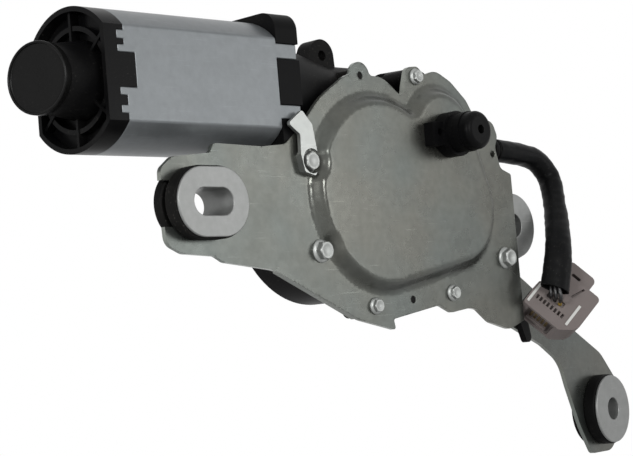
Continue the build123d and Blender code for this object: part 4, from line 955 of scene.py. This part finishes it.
class WIPER_OT_mounts(Operator):
    """Make the rubber mounts and their steel sleeves"""
    bl_idname = "wiper.mounts"
    bl_label = "Rubber mounts"

    def execute(self, context):
        metal, black = context.scene.wiper_metal, context.scene.wiper_black
        washer = steel("sleeve_steel", tuple(metal.sleeve), metallic=0.5, roughness=0.40,
                       clouding=0.5, rolling=0.3, marks=0.4)
        rubber = moulded("mount_rubber", tuple(black.rubber), roughness=0.55, grain=1500.0,
                         dust=0.3, bump=0.3)
        for place in ("left", "upper", "arm"):
            softened(place + "_mount_sleeve", place + "_sleeve", WASHER_EDGE, washer, "frame",
                     "sleeve_steel", segments=3)
            softened(place + "_mount_rubber", place + "_rubber", MOUNT_EDGE, rubber, "frame",
                     "black_rubber", segments=3)
        return {"FINISHED"}


class WIPER_OT_lead(Operator):
    """Make the lead's sleeve, its grommet and the connector"""
    bl_idname = "wiper.lead"
    bl_label = "Lead and connector"

    def execute(self, context):
        black, plug = context.scene.wiper_black, context.scene.wiper_connector
        soft = moulded("lead_sleeving", tuple(black.sleeving), roughness=0.34, grain=700.0,
                       dust=0.1, bump=0.35, shine=0.05)
        rubber = moulded("grommet_rubber", tuple(black.rubber), roughness=0.5, grain=1500.0,
                         dust=0.2)
        housing = moulded("connector_plastic", tuple(plug.housing), roughness=0.45, grain=1500.0,
                          dust=0.15, bump=0.12)
        brass = steel("terminal_brass", tuple(plug.terminal), metallic=0.95, roughness=0.3,
                      clouding=0.4, rolling=0.4, marks=0.3)
        clip = moulded("clip_plastic", tuple(black.plastic), roughness=0.45, grain=1500.0,
                       dust=0.1)
        white = moulded("lock_plastic", tuple(plug.lock), roughness=0.45, grain=1500.0,
                        dust=0.1, bump=0.12)
        route = rounded_route(LEAD_POINTS, LEAD_RADII)
        edges = [(k, k + 1) for k in range(len(route) - 1)]
        skin = grow("lead_sleeve", route, edges, sleeve_tree(),
                    {"Radius": 0.00432, "Crease depth": 0.0009, "Crease size": 260.0, "Seed": 7,
                     "Spread": 0.0015, "Squash": -0.0010, "Spread way": CONNECTOR_ROW_WAY,
                     "Squash way": CONNECTOR_FACE_WAY, "Material": soft})
        thicken(skin, SLEEVE_WALL)
        smooth_faces(place_piece("lead_sleeve", skin, soft, "frame", "sleeving",
                                 "harness_sleeve"), angle=60.0)
        beads = grow("grommet_beads", [(x * MM, y * MM, z * MM) for x, y, z in GROMMET_BEADS],
                     [], ring_tree(), {"Ring radius": 0.00385, "Bead radius": 0.00042,
                                   "Material": rubber})
        smooth_faces(place_piece("grommet_beads", beads, rubber, "frame", "black_rubber"),
                     angle=80.0)
        softened("cable_grommet", "ribbed_grommet", GROMMET_EDGE, rubber, "frame", "black_rubber")
        softened("connector_housing", "connector_shell", SHELL_EDGE, housing, "frame", "connector")
        dress("connector_terminals", brass)
        dress("connector_lock", white)
        dress("connector_clip", clip)
        return {"FINISHED"}


class WIPER_PT_panel(Panel):
    """Steps that build the wiper motor's looks"""
    bl_label = "Wiper motor"
    bl_idname = "WIPER_PT_panel"
    bl_space_type = "VIEW_3D"
    bl_region_type = "UI"
    bl_category = "Wiper motor"

    def draw(self, context):
        for step in STEPS:
            self.layout.operator(step.bl_idname)
        for name, group in SETTINGS:
            box = self.layout.box()
            for field in group.__annotations__:
                box.prop(getattr(context.scene, name), field)


STEPS = (WIPER_OT_stage, WIPER_OT_inner_parts, WIPER_OT_plate, WIPER_OT_screws, WIPER_OT_motor,
         WIPER_OT_gear_case, WIPER_OT_mounts, WIPER_OT_lead)


def register():
    """Add the settings, the steps and the panel."""
    for name, group in SETTINGS:
        bpy.utils.register_class(group)
        setattr(bpy.types.Scene, name, PointerProperty(type=group))
    for step in STEPS:
        bpy.utils.register_class(step)
    bpy.utils.register_class(WIPER_PT_panel)


def unregister():
    """Take the panel, the steps and the settings away."""
    bpy.utils.unregister_class(WIPER_PT_panel)
    for step in reversed(STEPS):
        bpy.utils.unregister_class(step)
    for name, group in reversed(SETTINGS):
        delattr(bpy.types.Scene, name)
        bpy.utils.unregister_class(group)


def main():
    """Build everything in order."""
    register()
    for step in STEPS:
        family, name = step.bl_idname.split(".")
        getattr(getattr(bpy.ops, family), name)()


if __name__ == "__main__":
    main()
